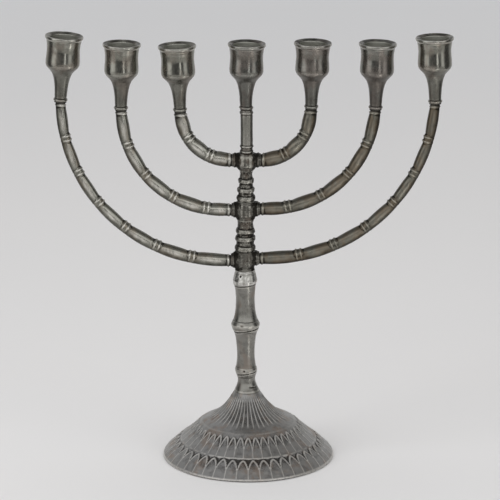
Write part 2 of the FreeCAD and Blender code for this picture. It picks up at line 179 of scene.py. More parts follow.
@dataclass(frozen=True)
class Pewter:
    """Cast pewter with black patina rubbed back from the high spots, plus painted shade and painted
    highlights.
    """

    name: str
    cool: tuple
    warm: tuple
    bright: tuple = colour(0.54, 0.525, 0.48)
    black: tuple = colour(0.020, 0.018, 0.015)
    inside: tuple = colour(0.50, 0.50, 0.45)
    gloss: float = 0.27
    # How strongly patina and painted shade darken the metal.
    soot_and_shade: float = 1.0
    grain: float = 1.0
    warm_share: float = 0.5

    def material(self) -> bpy.types.Material:
        """Build the finish's material.

        Returns:
            A material that reads the painted "soot" and shade, "rub" and highlights, and "bare" values.
        """
        bench = ShaderBench(bpy.data.materials.new(self.name))
        mottle = bench.clouds(16.0, 3.0)
        streak = bench.clouds(3.0, 4.0, (1.0, 1.0, 0.16))
        fine = bench.clouds(0.9, 3.0)
        tone = bench.calc("ADD", bench.calc("MULTIPLY", mottle, 0.7), bench.calc("MULTIPLY", streak, 0.3))
        warmth = bench.ramp(tone, 0.62 - 0.25 * self.warm_share, 0.80 - 0.35 * self.warm_share)
        metal = bench.blend(warmth, self.cool, self.warm)
        stain = bench.ramp(bench.clouds(5.0, 5.0), 0.46, 0.74, 0.0, 0.34)
        metal = bench.blend(stain, metal, self.black)
        # Rubbed bright metal and the painted highlights mix in the bright colour.
        wear_and_highlight = bench.calc("MULTIPLY", bench.painted("rub_and_highlight"), bench.ramp(streak, 0.30, 0.60, 0.45, 0.9))
        metal = bench.blend(wear_and_highlight, metal, self.bright)
        bare = bench.painted("bare")
        metal = bench.blend(bare, metal, self.inside)
        # Patina in the hollows and painted shade darken the metal towards black.
        ragged = bench.calc("ADD", bench.painted("soot_and_shade"),
                           bench.ramp(fine, 0.3, 0.7, -0.10 * self.grain, 0.10 * self.grain))
        patina = bench.calc("MULTIPLY", bench.ramp(ragged, 0.08, 0.62), 0.94 * self.soot_and_shade, clamp=True)
        bench.put(bench.surface.inputs["Base Color"], bench.blend(patina, metal, self.black))
        bench.surface.inputs["Metallic"].default_value = 1.0
        dull = bench.calc("ADD", bench.ramp(mottle, 0.35, 0.7, self.gloss - 0.04, self.gloss + 0.06),
                         bench.calc("MULTIPLY", patina, 0.28))
        dull = bench.calc("ADD", dull, bench.calc("MULTIPLY", bare, 0.30))
        dull = bench.calc("ADD", dull, bench.ramp(streak, 0.35, 0.65, 0, 0.07))
        bench.put(bench.surface.inputs["Roughness"], dull)
        self.relief(bench, fine, streak)
        return bench.owner

    def relief(self, bench: ShaderBench, fine: Socket, streak: Socket) -> None:
        """Add the cast skin's grain, its pits and the scratches of polishing.

        Args:
            bench: the material being built.
            fine: small noise.
            streak: long noise.
        """
        cells = bench.node("ShaderNodeTexVoronoi", {"Vector": bench.place(), "Scale": 1 / (2.6 * MM)})
        pits = bench.ramp(cells.outputs["Distance"], 0.04, 0.16, -1.0, 0.0)
        rare = bench.ramp(bench.clouds(7.0, 2.0), 0.55, 0.68)
        skin = bench.calc("ADD", bench.calc("MULTIPLY", fine, 0.5), bench.calc("MULTIPLY", streak, 0.35))
        height = bench.calc("ADD", skin, bench.calc("MULTIPLY", pits, rare))
        inputs = {"Height": height, "Strength": 0.35 * self.grain, "Distance": 0.12 * MM}
        bump = bench.node("ShaderNodeBump", inputs)
        bench.put(bench.surface.inputs["Normal"], bump.outputs["Normal"])


@dataclass(frozen=True)
class BrushedSteel:
    """Plain steel of the rod, washer and nut inside."""

    name: str = "brushed_steel"
    tint: tuple = colour(0.52, 0.52, 0.53)
    dull: tuple = colour(0.30, 0.27, 0.24)

    def material(self) -> bpy.types.Material:
        """Build the steel's material.

        Returns:
            A material with brush marks and a light rust shadow.
        """
        bench = ShaderBench(bpy.data.materials.new(self.name))
        marks = bench.clouds(0.7, 4.0, (1.0, 1.0, 0.06))
        shade = bench.ramp(bench.clouds(6.0, 4.0), 0.45, 0.75, 0.0, 0.7)
        bench.put(bench.surface.inputs["Base Color"], bench.blend(shade, self.tint, self.dull))
        bench.surface.inputs["Metallic"].default_value = 1.0
        bench.put(bench.surface.inputs["Roughness"], bench.ramp(marks, 0.3, 0.7, 0.28, 0.46))
        bump = bench.node("ShaderNodeBump", {"Height": marks, "Strength": 0.25, "Distance": 0.1 * MM})
        bench.put(bench.surface.inputs["Normal"], bump.outputs["Normal"])
        return bench.owner


@dataclass(frozen=True)
class Paper:
    """The pale sheet that the candelabrum stands on."""

    name: str = "pale_paper"
    tint: tuple = colour(0.785, 0.775, 0.77)
    shade: tuple = colour(0.77, 0.765, 0.765)
    far: tuple = colour(0.935, 0.965, 1.0)
    glow: float = 0.34

    def material(self) -> bpy.types.Material:
        """Build the paper's material.

        Returns:
            A matt material that turns cooler and lighter far from the foot.
        """
        bench = ShaderBench(bpy.data.materials.new(self.name))
        sheet = bench.blend(bench.clouds(160.0, 2.0), self.tint, self.shade)
        spread = bench.node("ShaderNodeVectorMath", {0: bench.place()}, operation="LENGTH").outputs["Value"]
        bench.put(bench.surface.inputs["Base Color"],
                  bench.blend(bench.ramp(spread, 0.5, 4.5), sheet, self.far))
        bench.surface.inputs["Emission Color"].default_value = self.far
        bench.put(bench.surface.inputs["Emission Strength"], bench.ramp(spread, 0.62, 5.5, 0.0, self.glow))
        bench.surface.inputs["Roughness"].default_value = 0.9
        bench.surface.inputs["Specular IOR Level"].default_value = 0.0
        return bench.owner


# ------------------------------------------------------------------------------------------------ metalwork
class Outline:
    """A turned section drawn as radius and height, kept as closely spaced points."""

    def __init__(self, r: float, z: float, step: float = 0.35) -> None:
        """Start the section at one radius and height, with its points one step apart, mm."""
        self.points = [(r, z)]
        self.step = step

    def line(self, r: float, z: float) -> "Outline":
        """A straight run to the next point."""
        return self.curve([(r, z)])

    def curve(self, stations: list) -> "Outline":
        """A smooth run through stations, from where the section has got to.

        Args:
            stations: (radius, height) points, the last of them its end.

        Returns:
            The outline itself.
        """
        knots = np.array([self.points[-1]] + list(stations), float)
        before = 2 * knots[0] - knots[1]
        after = 2 * knots[-1] - knots[-2]
        padded = np.vstack([before, knots, after])
        for i in range(1, len(knots)):
            a, b, c, d = padded[i - 1:i + 3]
            count = max(1, int(math.ceil(np.linalg.norm(c - b) / self.step)))
            for k in range(1, count + 1):
                t = k / count
                pull = (c - a) * t + (2 * a - 5 * b + 4 * c - d) * t * t + (3 * b - a - 3 * c + d) * t ** 3
                self.points.append(tuple(b + 0.5 * pull))
        return self

    def bead(self, crest_r: float, crest_z: float, half_height: float, root_r: float) -> "Outline":
        """A straight run up to a half-round ring, and the ring itself.

        Args:
            crest_r: the ring's largest radius, mm.
            crest_z: its middle's height, mm.
            half_height: half its height, mm.
            root_r: radius beside it, mm.

        Returns:
            The outline itself.
        """
        self.line(root_r, crest_z - half_height)
        lift = crest_r - root_r
        arc = [(root_r + lift * math.sin(math.pi * k / 8), crest_z - half_height * math.cos(math.pi * k / 8))
               for k in range(1, 9)]
        return self.curve(arc)

    def array(self) -> np.ndarray:
        """The section's points as rows of radius and height."""
        return np.array(self.points)


def soft_step(value: np.ndarray, low: float, high: float) -> np.ndarray:
    """0 at low, 1 at high, smooth between; low may be above high."""
    t = np.clip((value - low) / (high - low), 0, 1)
    return t * t * (3 - 2 * t)


def hump(value: np.ndarray, width: float) -> np.ndarray:
    """1 at 0, falling away over width."""
    return np.exp(-(value / width) ** 2)


def column_bow(points: np.ndarray) -> np.ndarray:
    """Bend places sideways as the hand-stacked column is a little out of true.

    Args:
        points: places, mm, whose last axis is xyz.

    Returns:
        The same places moved along x near the column and all over the foot.
    """
    drift = np.interp(points[..., 2], [row[0] for row in COLUMN_DRIFT], [row[1] for row in COLUMN_DRIFT])
    near = np.where(points[..., 2] < 60, 1.0, soft_step(np.abs(points[..., 0]), 40, 11))
    moved = points.copy()
    moved[..., 0] += drift * near
    return moved


def lumps(points: np.ndarray, size: float, seed: int) -> np.ndarray:
    """Smooth unevenness, about -1 to 1, at places in mm; size is the lumps' size and seed the pattern."""
    flat = points.reshape(-1, 3) / size + np.array([seed * 7.31, seed * 3.77, seed * 5.19])
    return np.array([noise.noise(p) for p in flat]).reshape(points.shape[:-1])


def grid_normals(grid: np.ndarray) -> np.ndarray:
    """Outward normals of rings of points.

    Args:
        grid: (rings, points, xyz), anticlockwise round the axis, going up it.

    Returns:
        A unit normal for each point.
    """
    around = np.roll(grid, -1, axis=1) - np.roll(grid, 1, axis=1)
    along = np.gradient(grid, axis=0)
    normal = np.cross(around, along)
    length = np.linalg.norm(normal, axis=2, keepdims=True)
    return normal / np.maximum(length, 1e-9)


def turned_grid(section: np.ndarray, columns: int) -> tuple[np.ndarray, np.ndarray]:
    """Rings of points from a turned section.

    Args:
        section: rows of radius and height.
        columns: points in each ring; the first is at the front.

    Returns:
        The points and each column's angle from the front, anticlockwise from above.
    """
    angle = np.arange(columns) * 2 * math.pi / columns
    circle = np.stack([np.sin(angle), -np.cos(angle)], axis=1)
    grid = np.zeros((len(section), columns, 3))
    grid[:, :, :2] = section[:, 0, None, None] * circle[None, :, :]
    grid[:, :, 2] = section[:, 1, None]
    return grid, angle


def skin(name: str, grid: np.ndarray, looped: bool = False) -> bpy.types.Object:
    """Make a closed mesh from rings of points.

    Args:
        name: the new object's name.
        grid: (rings, points, xyz) in mm, anticlockwise round the axis.
        looped: True if the last ring joins the first; else both ends are closed to a middle point.

    Returns:
        The new object.
    """
    rows, columns, _ = grid.shape
    index = np.arange(rows * columns).reshape(rows, columns)
    beyond = np.roll(index, -1, axis=1)
    low, high = (index, np.roll(index, -1, axis=0)) if looped else (index[:-1], index[1:])
    low_next, high_next = (beyond, np.roll(beyond, -1, axis=0)) if looped else (beyond[:-1], beyond[1:])
    faces = np.stack([low, low_next, high_next, high], axis=-1).reshape(-1, 4).tolist()
    points = grid.reshape(-1, 3)
    if not looped:
        points = np.vstack([points, grid[0].mean(0), grid[-1].mean(0)])
        bottom, top = rows * columns, rows * columns + 1
        faces += np.stack([np.full(columns, bottom), beyond[0], index[0]], axis=-1).tolist()
        faces += np.stack([np.full(columns, top), index[-1], beyond[-1]], axis=-1).tolist()
    mesh = bpy.data.meshes.new(name)
    mesh.from_pydata((column_bow(points) * MM).tolist(), [], faces)
    made = smooth_object(name, mesh)
    if not looped:
        ends = np.zeros(len(mesh.edges) * 2, np.int32)
        mesh.edges.foreach_get("vertices", ends)
        first, second = ends.reshape(-1, 2).T
        last = (rows - 1) * columns
        on_first = (first < columns) & (second < columns)
        on_last = (first >= last) & (second >= last) & (first < bottom) & (second < bottom)
        mesh.attributes.new("sharp_edge", "BOOLEAN", "EDGE").data.foreach_set("value", on_first | on_last)
    return made


def smooth_object(name: str, mesh: bpy.types.Mesh) -> bpy.types.Object:
    """Put a smooth-shaded mesh in the scene.

    Args:
        name: the new object's name.
        mesh: its mesh.

    Returns:
        The new object.
    """
    mesh.polygons.foreach_set("use_smooth", np.ones(len(mesh.polygons), bool))
    mesh.update()
    made = bpy.data.objects.new(name, mesh)
    bpy.context.scene.collection.objects.link(made)
    return made


def mesh_points(mesh: bpy.types.Mesh) -> np.ndarray:
    """Read a mesh's points.

    Args:
        mesh: the mesh.

    Returns:
        One row of x, y and z for each point, mm.
    """
    flat = np.zeros(len(mesh.vertices) * 3)
    mesh.vertices.foreach_get("co", flat)
    return flat.reshape(-1, 3) / MM


def set_mesh_points(mesh: bpy.types.Mesh, points: np.ndarray) -> None:
    """Move a mesh's points to these places in mm."""
    mesh.vertices.foreach_set("co", (points * MM).ravel())
    mesh.update()


def with_ends(values: np.ndarray, end: float = 0.0) -> np.ndarray:
    """The values of a skin's rings of points in a row, and one more for each of its two closing points."""
    return np.concatenate([values.ravel(), [0.0, end]])


@dataclass(frozen=True)
class PatinaRule:
    """How deep a hollow is, mm, where patina starts and where it is full, and the same for rubbed edges.

    Depth is measured against the piece's own shape smoothed over, as many times as reach says.
    """

    reach: int = 24
    hollow_from: float = 0.010
    hollow_full: float = 0.075
    edge_from: float = 0.018
    edge_full: float = 0.090

    def paint(self, piece: bpy.types.Object, extra: np.ndarray | None = None,
              quiet: np.ndarray | None = None, painted_highlight: np.ndarray | None = None) -> None:
        """Paint "soot" in the hollows and "rub" on the edges, and add any painted shade and highlights given.

        Args:
            piece: the object to paint.
            extra: patina and painted shade to add to the soot, one value for each point, or None.
            quiet: share of the hollow and edge paint to keep at each point, or None for all.
            painted_highlight: painted highlight to add to the rub at each point, or None.
        """
        mesh = piece.data
        points = mesh_points(mesh)
        ends = np.zeros(len(mesh.edges) * 2, np.int32)
        mesh.edges.foreach_get("vertices", ends)
        a, b = ends.reshape(-1, 2).T
        count = np.bincount(a, minlength=len(points)) + np.bincount(b, minlength=len(points))
        normals = np.zeros(len(points) * 3)
        mesh.vertex_normals.foreach_get("vector", normals)
        soft = points.copy()
        for _ in range(self.reach):
            for axis in range(3):
                column = soft[:, axis]
                pulled = np.bincount(a, column[b], len(points)) + np.bincount(b, column[a], len(points))
                soft[:, axis] = 0.5 * column + 0.5 * pulled / count
        sunk = ((soft - points) * normals.reshape(-1, 3)).sum(1)
        if quiet is not None:
            sunk = sunk * quiet
        soot_and_shade = soft_step(sunk, self.hollow_from, self.hollow_full)
        if extra is not None:
            soot_and_shade = np.clip(soot_and_shade + extra, 0, 1)
        rub_and_highlight = soft_step(-sunk, self.edge_from, self.edge_full)
        if painted_highlight is not None:
            rub_and_highlight = np.clip(rub_and_highlight + painted_highlight, 0, 1)
        rub_and_highlight = rub_and_highlight * (1 - soot_and_shade)
        for name, values in (("soot_and_shade", soot_and_shade), ("rub_and_highlight", rub_and_highlight)):
            mesh.attributes.new(name, "FLOAT", "POINT").data.foreach_set("value", values.astype(np.float32))


@dataclass
class Casting:
    """What every cast piece shares: its frame node, its slot, its finish and its unevenness."""

    node: str
    finish: Pewter
    slot: Slot
    seed: int = 1
    wobble: float = 0.05
    wobble_size: float = 7.0
    patina: PatinaRule = PatinaRule()

    def uneven(self, grid: np.ndarray) -> np.ndarray:
        """Push rings of points in and out as hand-finished castings are.

        Args:
            grid: the rings of points.

        Returns:
            The same rings, no longer quite true.
        """
        push = lumps(grid, self.wobble_size, self.seed)
        push += 0.4 * lumps(grid, self.wobble_size / 3, self.seed + 50)
        return grid + grid_normals(grid) * (push * self.wobble)[:, :, None]

    def dress(self, piece: bpy.types.Object, extra: np.ndarray | None = None,
              quiet: np.ndarray | None = None, painted_highlight: np.ndarray | None = None) -> bpy.types.Object:
        """Paint, finish and fix a piece to the frame.

        Args:
            piece: the finished mesh object.
            extra: patina and painted shade to add to the soot at each point.
            quiet: share of the other paint to keep at each point.
            painted_highlight: painted highlight to add to the rub at each point.

        Returns:
            The same piece.
        """
        self.patina.paint(piece, extra, quiet, painted_highlight)
        piece.data.materials.append(finish_material(self.finish))
        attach(piece, "root")
        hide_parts(self.node)
        return piece

    def seam_quiet(self, grid: np.ndarray, margin: float = 1.4) -> np.ndarray:
        """Keep paint off the flat faces where castings meet.

        Args:
            grid: the rings of points, before they are stood in place.
            margin: how near a joint the paint fades, mm.

        Returns:
            The share of paint to keep at each mesh point, the two end points last.
        """
        z = grid[:, :, 2]
        share = soft_step(np.minimum(z - z[0].mean(), z[-1].mean() - z), 0.3, margin)
        return with_ends(share)

    @property
    def piece_name(self) -> str:
        """The name of the piece that stands for the node."""
        return self.node + "_casting"

    def heights(self) -> tuple[float, float]:
        """The node's lowest and highest points, mm."""
        low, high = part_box(self.node)
        return low.z / MM, high.z / MM


MATERIALS: dict[str, bpy.types.Material] = {}


def finish_material(finish: Pewter | BrushedSteel | Paper) -> bpy.types.Material:
    """Find or make a finish's material.

    Args:
        finish: the finish.

    Returns:
        Its material, made only once.
    """
    if finish.name not in MATERIALS:
        MATERIALS[finish.name] = finish.material()
    return MATERIALS[finish.name]


FOOT_PEWTER = Pewter("antique_pewter_foot", colour(0.385, 0.38, 0.37), colour(0.38, 0.325, 0.285),
                     bright=colour(0.80, 0.78, 0.74), gloss=0.34, soot_and_shade=0.84, warm_share=0.5)
STEM_PEWTER = Pewter("antique_pewter_stem", colour(0.25, 0.245, 0.225), colour(0.245, 0.217, 0.19),
                     gloss=0.27, soot_and_shade=0.95, grain=0.4, warm_share=0.45)
COLUMN_PEWTER = Pewter("antique_pewter_column", colour(0.135, 0.13, 0.115), colour(0.12, 0.103, 0.086),
                       bright=colour(0.39, 0.38, 0.34), gloss=0.24, warm_share=0.6)
FERRULE_PEWTER = Pewter("antique_pewter_ferrule", colour(0.34, 0.335, 0.31), colour(0.31, 0.27, 0.24),
                        bright=colour(0.66, 0.65, 0.62), gloss=0.22)
ARM_PEWTER = Pewter("antique_pewter_arm", colour(0.245, 0.243, 0.21), colour(0.23, 0.208, 0.168),
                    bright=colour(0.80, 0.78, 0.72), gloss=0.23, grain=0.4, warm_share=0.6)
DARK_ARM_PEWTER = Pewter("antique_pewter_dark_arm", colour(0.152, 0.146, 0.122), colour(0.145, 0.120, 0.088),
                         bright=colour(0.42, 0.40, 0.34), gloss=0.30, grain=0.4, warm_share=0.7)
CUP_PEWTER = Pewter("antique_pewter_cup", colour(0.30, 0.296, 0.26), colour(0.28, 0.254, 0.218),
                    bright=colour(0.52, 0.51, 0.47), gloss=0.17, soot_and_shade=0.9, grain=0.25, warm_share=0.6)
DARK_CUP_PEWTER = Pewter("antique_pewter_dark_cup", colour(0.25, 0.248, 0.225), colour(0.235, 0.212, 0.19),
                         bright=colour(0.50, 0.49, 0.45), gloss=0.19, soot_and_shade=0.9, grain=0.3, warm_share=0.65)
SHAFT_PEWTER = Pewter("antique_pewter_shaft", colour(0.215, 0.212, 0.19), colour(0.20, 0.18, 0.16),
                      bright=colour(0.44, 0.43, 0.39), gloss=0.22, soot_and_shade=0.95, grain=0.5, warm_share=0.6)


# ------------------------------------------------------------------------------------------------ foot
@dataclass
class PetalRow:
    """One ring of raised pointed arches on the foot."""

    tip_r: float
    base_r: float
    shift: float
    shoulder: float = 0.62
    rib: float = 0.24
    rib_width: float = 0.36
    hollow: float = 0.07
    spandrel: float = 0.50
    lead: float = 0.9

    def relief(self, r: np.ndarray, turn: np.ndarray, count: int,
               uneven: np.ndarray) -> tuple[np.ndarray, np.ndarray]:
        """The row's height over the plain apron.

        Args:
            r: radius of each point, mm.
            turn: angle of each point in petals.
            count: petals in the ring.
            uneven: about -1 to 1 for each point, for hand-cut variation.

        Returns:
            Height in mm and patina to add, both 0 outside the row.
        """
        length = self.base_r - self.tip_r
        cell = (turn + self.shift) % 1.0 - 0.5
        across = np.abs(cell) * 2
        along = (r - self.tip_r - 0.5 * uneven) / length
        rise = np.clip(1 - along / self.shoulder, 0, None)
        bound = across ** 1.7 + rise ** 1.5 - 1
        half_width = math.pi * r / count
        slope_x = 1.7 * across ** 0.7 / half_width
        slope_r = 1.5 * rise ** 0.5 / (self.shoulder * length)
        distance = bound / np.sqrt(slope_x ** 2 + slope_r ** 2 + 0.02)
        rib = self.rib * (1 + 0.25 * uneven) * hump(distance, self.rib_width)
        inside = -self.hollow * soft_step(distance, -0.3, -1.3)
        near_tip = soft_step(along, 0.62, 0.30)
        outside = -self.spandrel * soft_step(distance, 0.25, 0.9) * near_tip
        shown = soft_step(r, self.tip_r - 0.7 - self.lead, self.tip_r - 0.7)
        shown = shown * soft_step(r, self.base_r + 0.3, self.base_r - 0.3)
        soot_and_shade = 0.30 * soft_step(distance, -0.35, -0.8) * soft_step(along, 0.95, 0.15) * (1 + uneven)
        return (rib * (0.55 + 0.45 * near_tip) + inside + outside) * shown, soot_and_shade * shown


@dataclass
class Foot(Casting):
    """The hollow bell foot with flutes, two petal rows and a rolled rim."""

    patina: PatinaRule = PatinaRule(14, 0.025, 0.16, 0.010, 0.065)
    petals: int = 44
    columns_per_petal: int = 14
    ring_step: float = 0.66
    inside_step: float = 5.2
    seat_r: float = 10.5
    wall: float = 2.6
    crown_z: float = 46.0
    rod_hole_r: float = 2.75
    stations: tuple = ((12.2, 51.3), (14.5, 47.4), (18.0, 42.9), (22.0, 38.9), (26.0, 35.8), (32.0, 32.3),
                       (37.5, 29.7), (40.2, 28.0), (42.6, 25.8), (45.6, 22.8), (52.0, 17.3), (58.0, 12.4),
                       (64.0, 7.2), (66.8, 4.4))
    flute_from: float = 10.8
    flute_to: float = 35.0
    flute_height: float = 0.42
    flute_width: float = 0.17
    flute_sink: float = 0.25
    ledge: float = 0.10
    dents: float = 0.22
    dent_size: float = 14.0
    rows: tuple = (PetalRow(40.8, 54.4, 0.5, rib=0.30, spandrel=0.45, lead=2.0),
                   PetalRow(56.4, 68.7, 0.0, rib=0.38, spandrel=0.50))

    def section(self) -> tuple[np.ndarray, int]:
        """The wall's section as a closed loop.

        Returns:
            Rows of radius and height from the seat out, under the rim and back inside, and how many of
            them are on the outside.
        """
        _, top = self.heights()
        low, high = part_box(self.node)
        rim_r = (high.x - low.x) / 2 / MM
        outline = Outline(self.seat_r, top, self.ring_step)
        outline.curve([*self.stations, (rim_r - 1.0, 2.7), (rim_r - 0.2, 1.8), (rim_r, 1.0),
                       (rim_r - 0.3, 0.35), (rim_r - 1.1, 0.0)])
        outside = len(outline.points)
        outline.step = self.inside_step
        outline.line(rim_r - 2.6, 0.15)
        inner = [(r - 0.6 * self.wall, z - 0.8 * self.wall) for r, z in reversed(self.stations[3:])]
        outline.curve([*inner, (17.5, self.crown_z - 4.5), (13.0, self.crown_z)])
        outline.line(self.rod_hole_r, self.crown_z)
        outline.line(self.rod_hole_r, top)
        return outline.array(), outside

    def ornament(self, grid: np.ndarray, angle: np.ndarray, outside: int) -> tuple[np.ndarray, np.ndarray]:
        """Raise the flutes and petals on the outer rings.

        Args:
            grid: the plain rings of points.
            angle: angle of each column.
            outside: how many rings are on the outside.

        Returns:
            Height in mm, and patina and painted shade to add, for every point.
        """
        face = grid[:outside]
        r = np.linalg.norm(face[:, :, :2], axis=2)
        turn = np.broadcast_to(angle[None, :] * self.petals / (2 * math.pi), r.shape)
        uneven = lumps(face, 5.0, self.seed + 9)
        fade = soft_step(r, self.flute_from, self.flute_from + 3)
        fade = fade * soft_step(r, self.flute_to, self.flute_to - 9)
        cell = (turn + 0.5) % 1.0 - 0.5
        flutes = self.flute_height * (hump(cell, self.flute_width) - self.flute_sink)
        flutes = flutes * fade * (1 + 0.5 * uneven)
        height, soot_and_shade = np.zeros(grid.shape[:2]), np.zeros(grid.shape[:2])
        height[:outside] = flutes + self.ledge * hump(r - self.rows[0].base_r - 0.9, 0.8)
        soot_and_shade[:outside] = 0.34 * soft_step(np.abs(cell), 0.14, 0.34) * fade
        # Painted shade along the bottom of the rim and over the shoulder about 38 mm out.
        soot_and_shade[:outside] += 0.38 * soft_step(face[:, :, 2], 1.9, 0.9) + 0.20 * hump(r - 38.0, 3.5)
        soot_and_shade[:outside] += 0.12 * soft_step(r, 13.2, 11.4)
        for row in self.rows:
            rise, stain = row.relief(r, turn, self.petals, uneven)
            height[:outside] += rise
            soot_and_shade[:outside] += stain
        return height, soot_and_shade

    def build(self) -> bpy.types.Object:
        """Make the foot's mesh and dress it.

        Returns:
            The foot's piece.
        """
        section, outside = self.section()
        grid, angle = turned_grid(section[::-1], self.petals * self.columns_per_petal)
        grid = grid[::-1]
        height, soot_and_shade = self.ornament(grid, angle, outside)
        normals = -grid_normals(grid)
        push = lumps(grid, self.dent_size, self.seed) * self.dents
        push[outside:] = 0
        push *= soft_step(grid[:, :, 2], 0.4, 4.0)
        push *= soft_step(np.hypot(grid[:, :, 0], grid[:, :, 1]), 11.0, 17.0)
        grid = grid + normals * (height + push)[:, :, None]
        grid[:, :, 2] = np.maximum(grid[:, :, 2], 0.0)
        piece = skin(self.piece_name, grid[::-1], looped=True)
        r = np.linalg.norm(grid[:, :, :2], axis=2)
        quiet = (1 - soft_step(r, 14.5, 12.0)) * (1 - 0.85 * hump(r - 39.0, 1.7))
        quiet *= 1 - 0.7 * soft_step(grid[:, :, 2], 2.0, 1.2)
        aside = np.abs(grid[:, :, 0]) / np.maximum(r, 1)
        quiet *= 1 - 0.65 * hump(r - self.rows[0].base_r - 0.4, 1.3) * soft_step(aside, 0.15, 0.6)
        calm = 1 - 0.42 * soft_step(aside, 0.45, 0.92)
        quiet, soot_and_shade = quiet * calm, soot_and_shade * calm
        return self.dress(piece, soot_and_shade[::-1].ravel(), quiet[::-1].ravel())


# ------------------------------------------------------------------------------------------------ stem
@dataclass
class Stem(Casting):
    """The bamboo-shaped stem: two node ridges between flared waists."""

    patina: PatinaRule = PatinaRule(18, 0.02, 0.11, 0.03, 0.14)
    columns: int = 144
    seat_r: float = 10.5
    top_r: float = 8.85
    seam_slope: float = 0.11

    def section(self) -> np.ndarray:
        """Draw the stem's section up from the foot's seat.

        Returns:
            Rows of radius and height.
        """
        base, top = self.heights()
        outline = Outline(self.seat_r, base, step=0.4)
        outline.curve([(8.7, base + 3.6), (7.45, base + 7.2), (7.0, base + 9.6)])
        outline.curve([(7.25, base + 11.8), (7.8, base + 13.4)])
        outline.curve([(8.75, base + 16.6), (8.92, base + 18.2)])
        outline.curve([(8.86, base + 19.0), (8.5, base + 20.4)])
        outline.curve([(8.15, base + 20.9), (7.72, base + 23.0), (7.2, base + 27.5), (7.1, base + 31.7),
                       (7.3, base + 37.5), (8.1, base + 45.0), (9.3, base + 50.2), (10.3, base + 51.9)])
        outline.curve([(11.35, base + 55.2), (11.62, base + 56.6)])
        outline.curve([(11.4, base + 57.4), (10.2, base + 60.0)])
        outline.curve([(9.8, base + 60.5), (8.7, base + 64.5), (7.9, base + 70.0),
                       (7.6, base + 76.5), (7.75, base + 82.0), (8.2, base + 87.0), (self.top_r, top)])
        return outline.array()

    def scar(self, grid: np.ndarray, angle: np.ndarray, rise: float, width: float, depth: float,
             middle: float, spread: float, slope: float = 0.17) -> np.ndarray:
        """An oblique file mark round part of the stem.

        Args:
            grid: rings of points.
            angle: angle of each column.
            rise: height over the stem's base at the front, mm.
            width: width of the mark, mm.
            depth: depth of the mark, mm.
            middle: angle of its middle from the front, towards the right, radians.
            spread: half its length, radians.
            slope: how much it climbs to the right, mm for each mm.

        Returns:
            Depth in mm at every point, negative.
        """
        base, _ = self.heights()
        line = base + rise + slope * grid[:, :, 0]
        away = np.abs((angle - middle + math.pi) % (2 * math.pi) - math.pi)
        return -depth * hump(grid[:, :, 2] - line, width) * soft_step(away, spread + 0.25, spread)[None, :]

    def build(self) -> bpy.types.Object:
        """Make the stem's mesh and dress it.

        Returns:
            The stem's piece.
        """
        base, top = self.heights()
        grid, angle = turned_grid(self.section(), self.columns)
        off_seat = soft_step(grid[:, :, 2], base, base + 3)
        grid = grid + (self.uneven(grid) - grid) * off_seat[:, :, None]
        marks = self.scar(grid, angle, 52.2, 0.45, 0.55, 0.0, 1.25)
        marks += self.scar(grid, angle, 15.8, 0.4, 0.35, 0.1, 1.0)
        marks += self.scar(grid, angle, 5.0, 0.4, 0.35, 0.70, 0.32, -0.10)
        x, front, rise = grid[:, :, 0], grid[:, :, 1] < 0, grid[:, :, 2] - base
        marks -= 0.6 * hump(rise - 18.6, 0.9) * hump(x + 1.6, 1.0) * front
        marks -= 0.4 * hump(rise - 57.4, 1.0) * hump(x + 3.0, 1.6) * front
        grid = grid + grid_normals(grid) * marks[:, :, None]
        near_top = soft_step(grid[:, :, 2], top - 6, top)
        grid[:, :, 2] += self.seam_slope * grid[:, :, 0] * near_top
        shade = 0.55 * soft_step(grid[:, :, 2] - self.seam_slope * grid[:, :, 0], top - 1.7, top - 0.5)
        return self.dress(skin(self.piece_name, grid), with_ends(shade), self.seam_quiet(grid))


@dataclass
class Ferrule(Casting):
    """The bevelled collar between stem and lowest hub, hammered and pitted."""

    patina: PatinaRule = PatinaRule(18, 0.012, 0.08, 0.02, 0.09)
    columns: int = 144
    seat_r: float = 8.9
    ridge_r: float = 9.7
    ridge_rise: float = 3.2
    top_r: float = 7.95
    seam_slope: float = 0.11

    def build(self) -> bpy.types.Object:
        """Make the ferrule's mesh and dress it.

        Returns:
            The ferrule's piece.
        """
        base, top = self.heights()
        outline = Outline(self.seat_r, base, step=0.3)
        outline.curve([(9.25, base + 0.7), (9.6, base + 2.2), (self.ridge_r, base + self.ridge_rise)])
        outline.curve([(9.45, base + 4.2), (8.5, base + 8.3), (8.1, base + 10.6)])
        outline.curve([(7.75, base + 11.2), (self.top_r, top)])
        grid, angle = turned_grid(outline.array(), self.columns)
        grid = self.uneven(grid)
        facets = 0.16 * np.abs(np.sin(angle * 5 + 0.6))[None, :] * soft_step(grid[:, :, 2], top, top - 5)
        pits = -0.45 * soft_step(lumps(grid, 1.9, self.seed + 4), 0.22, 0.5)
        pits *= hump(grid[:, :, 0] + 4.6, 2.2) * (grid[:, :, 1] < 0)
        pits *= soft_step(grid[:, :, 2], base + 2, base + 5)
        grid = grid + grid_normals(grid) * (facets + pits)[:, :, None]
        near_base = soft_step(grid[:, :, 2], base + 4, base)
        grid[:, :, 2] += self.seam_slope * grid[:, :, 0] * near_base
        return self.dress(skin(self.piece_name, grid), quiet=self.seam_quiet(grid))


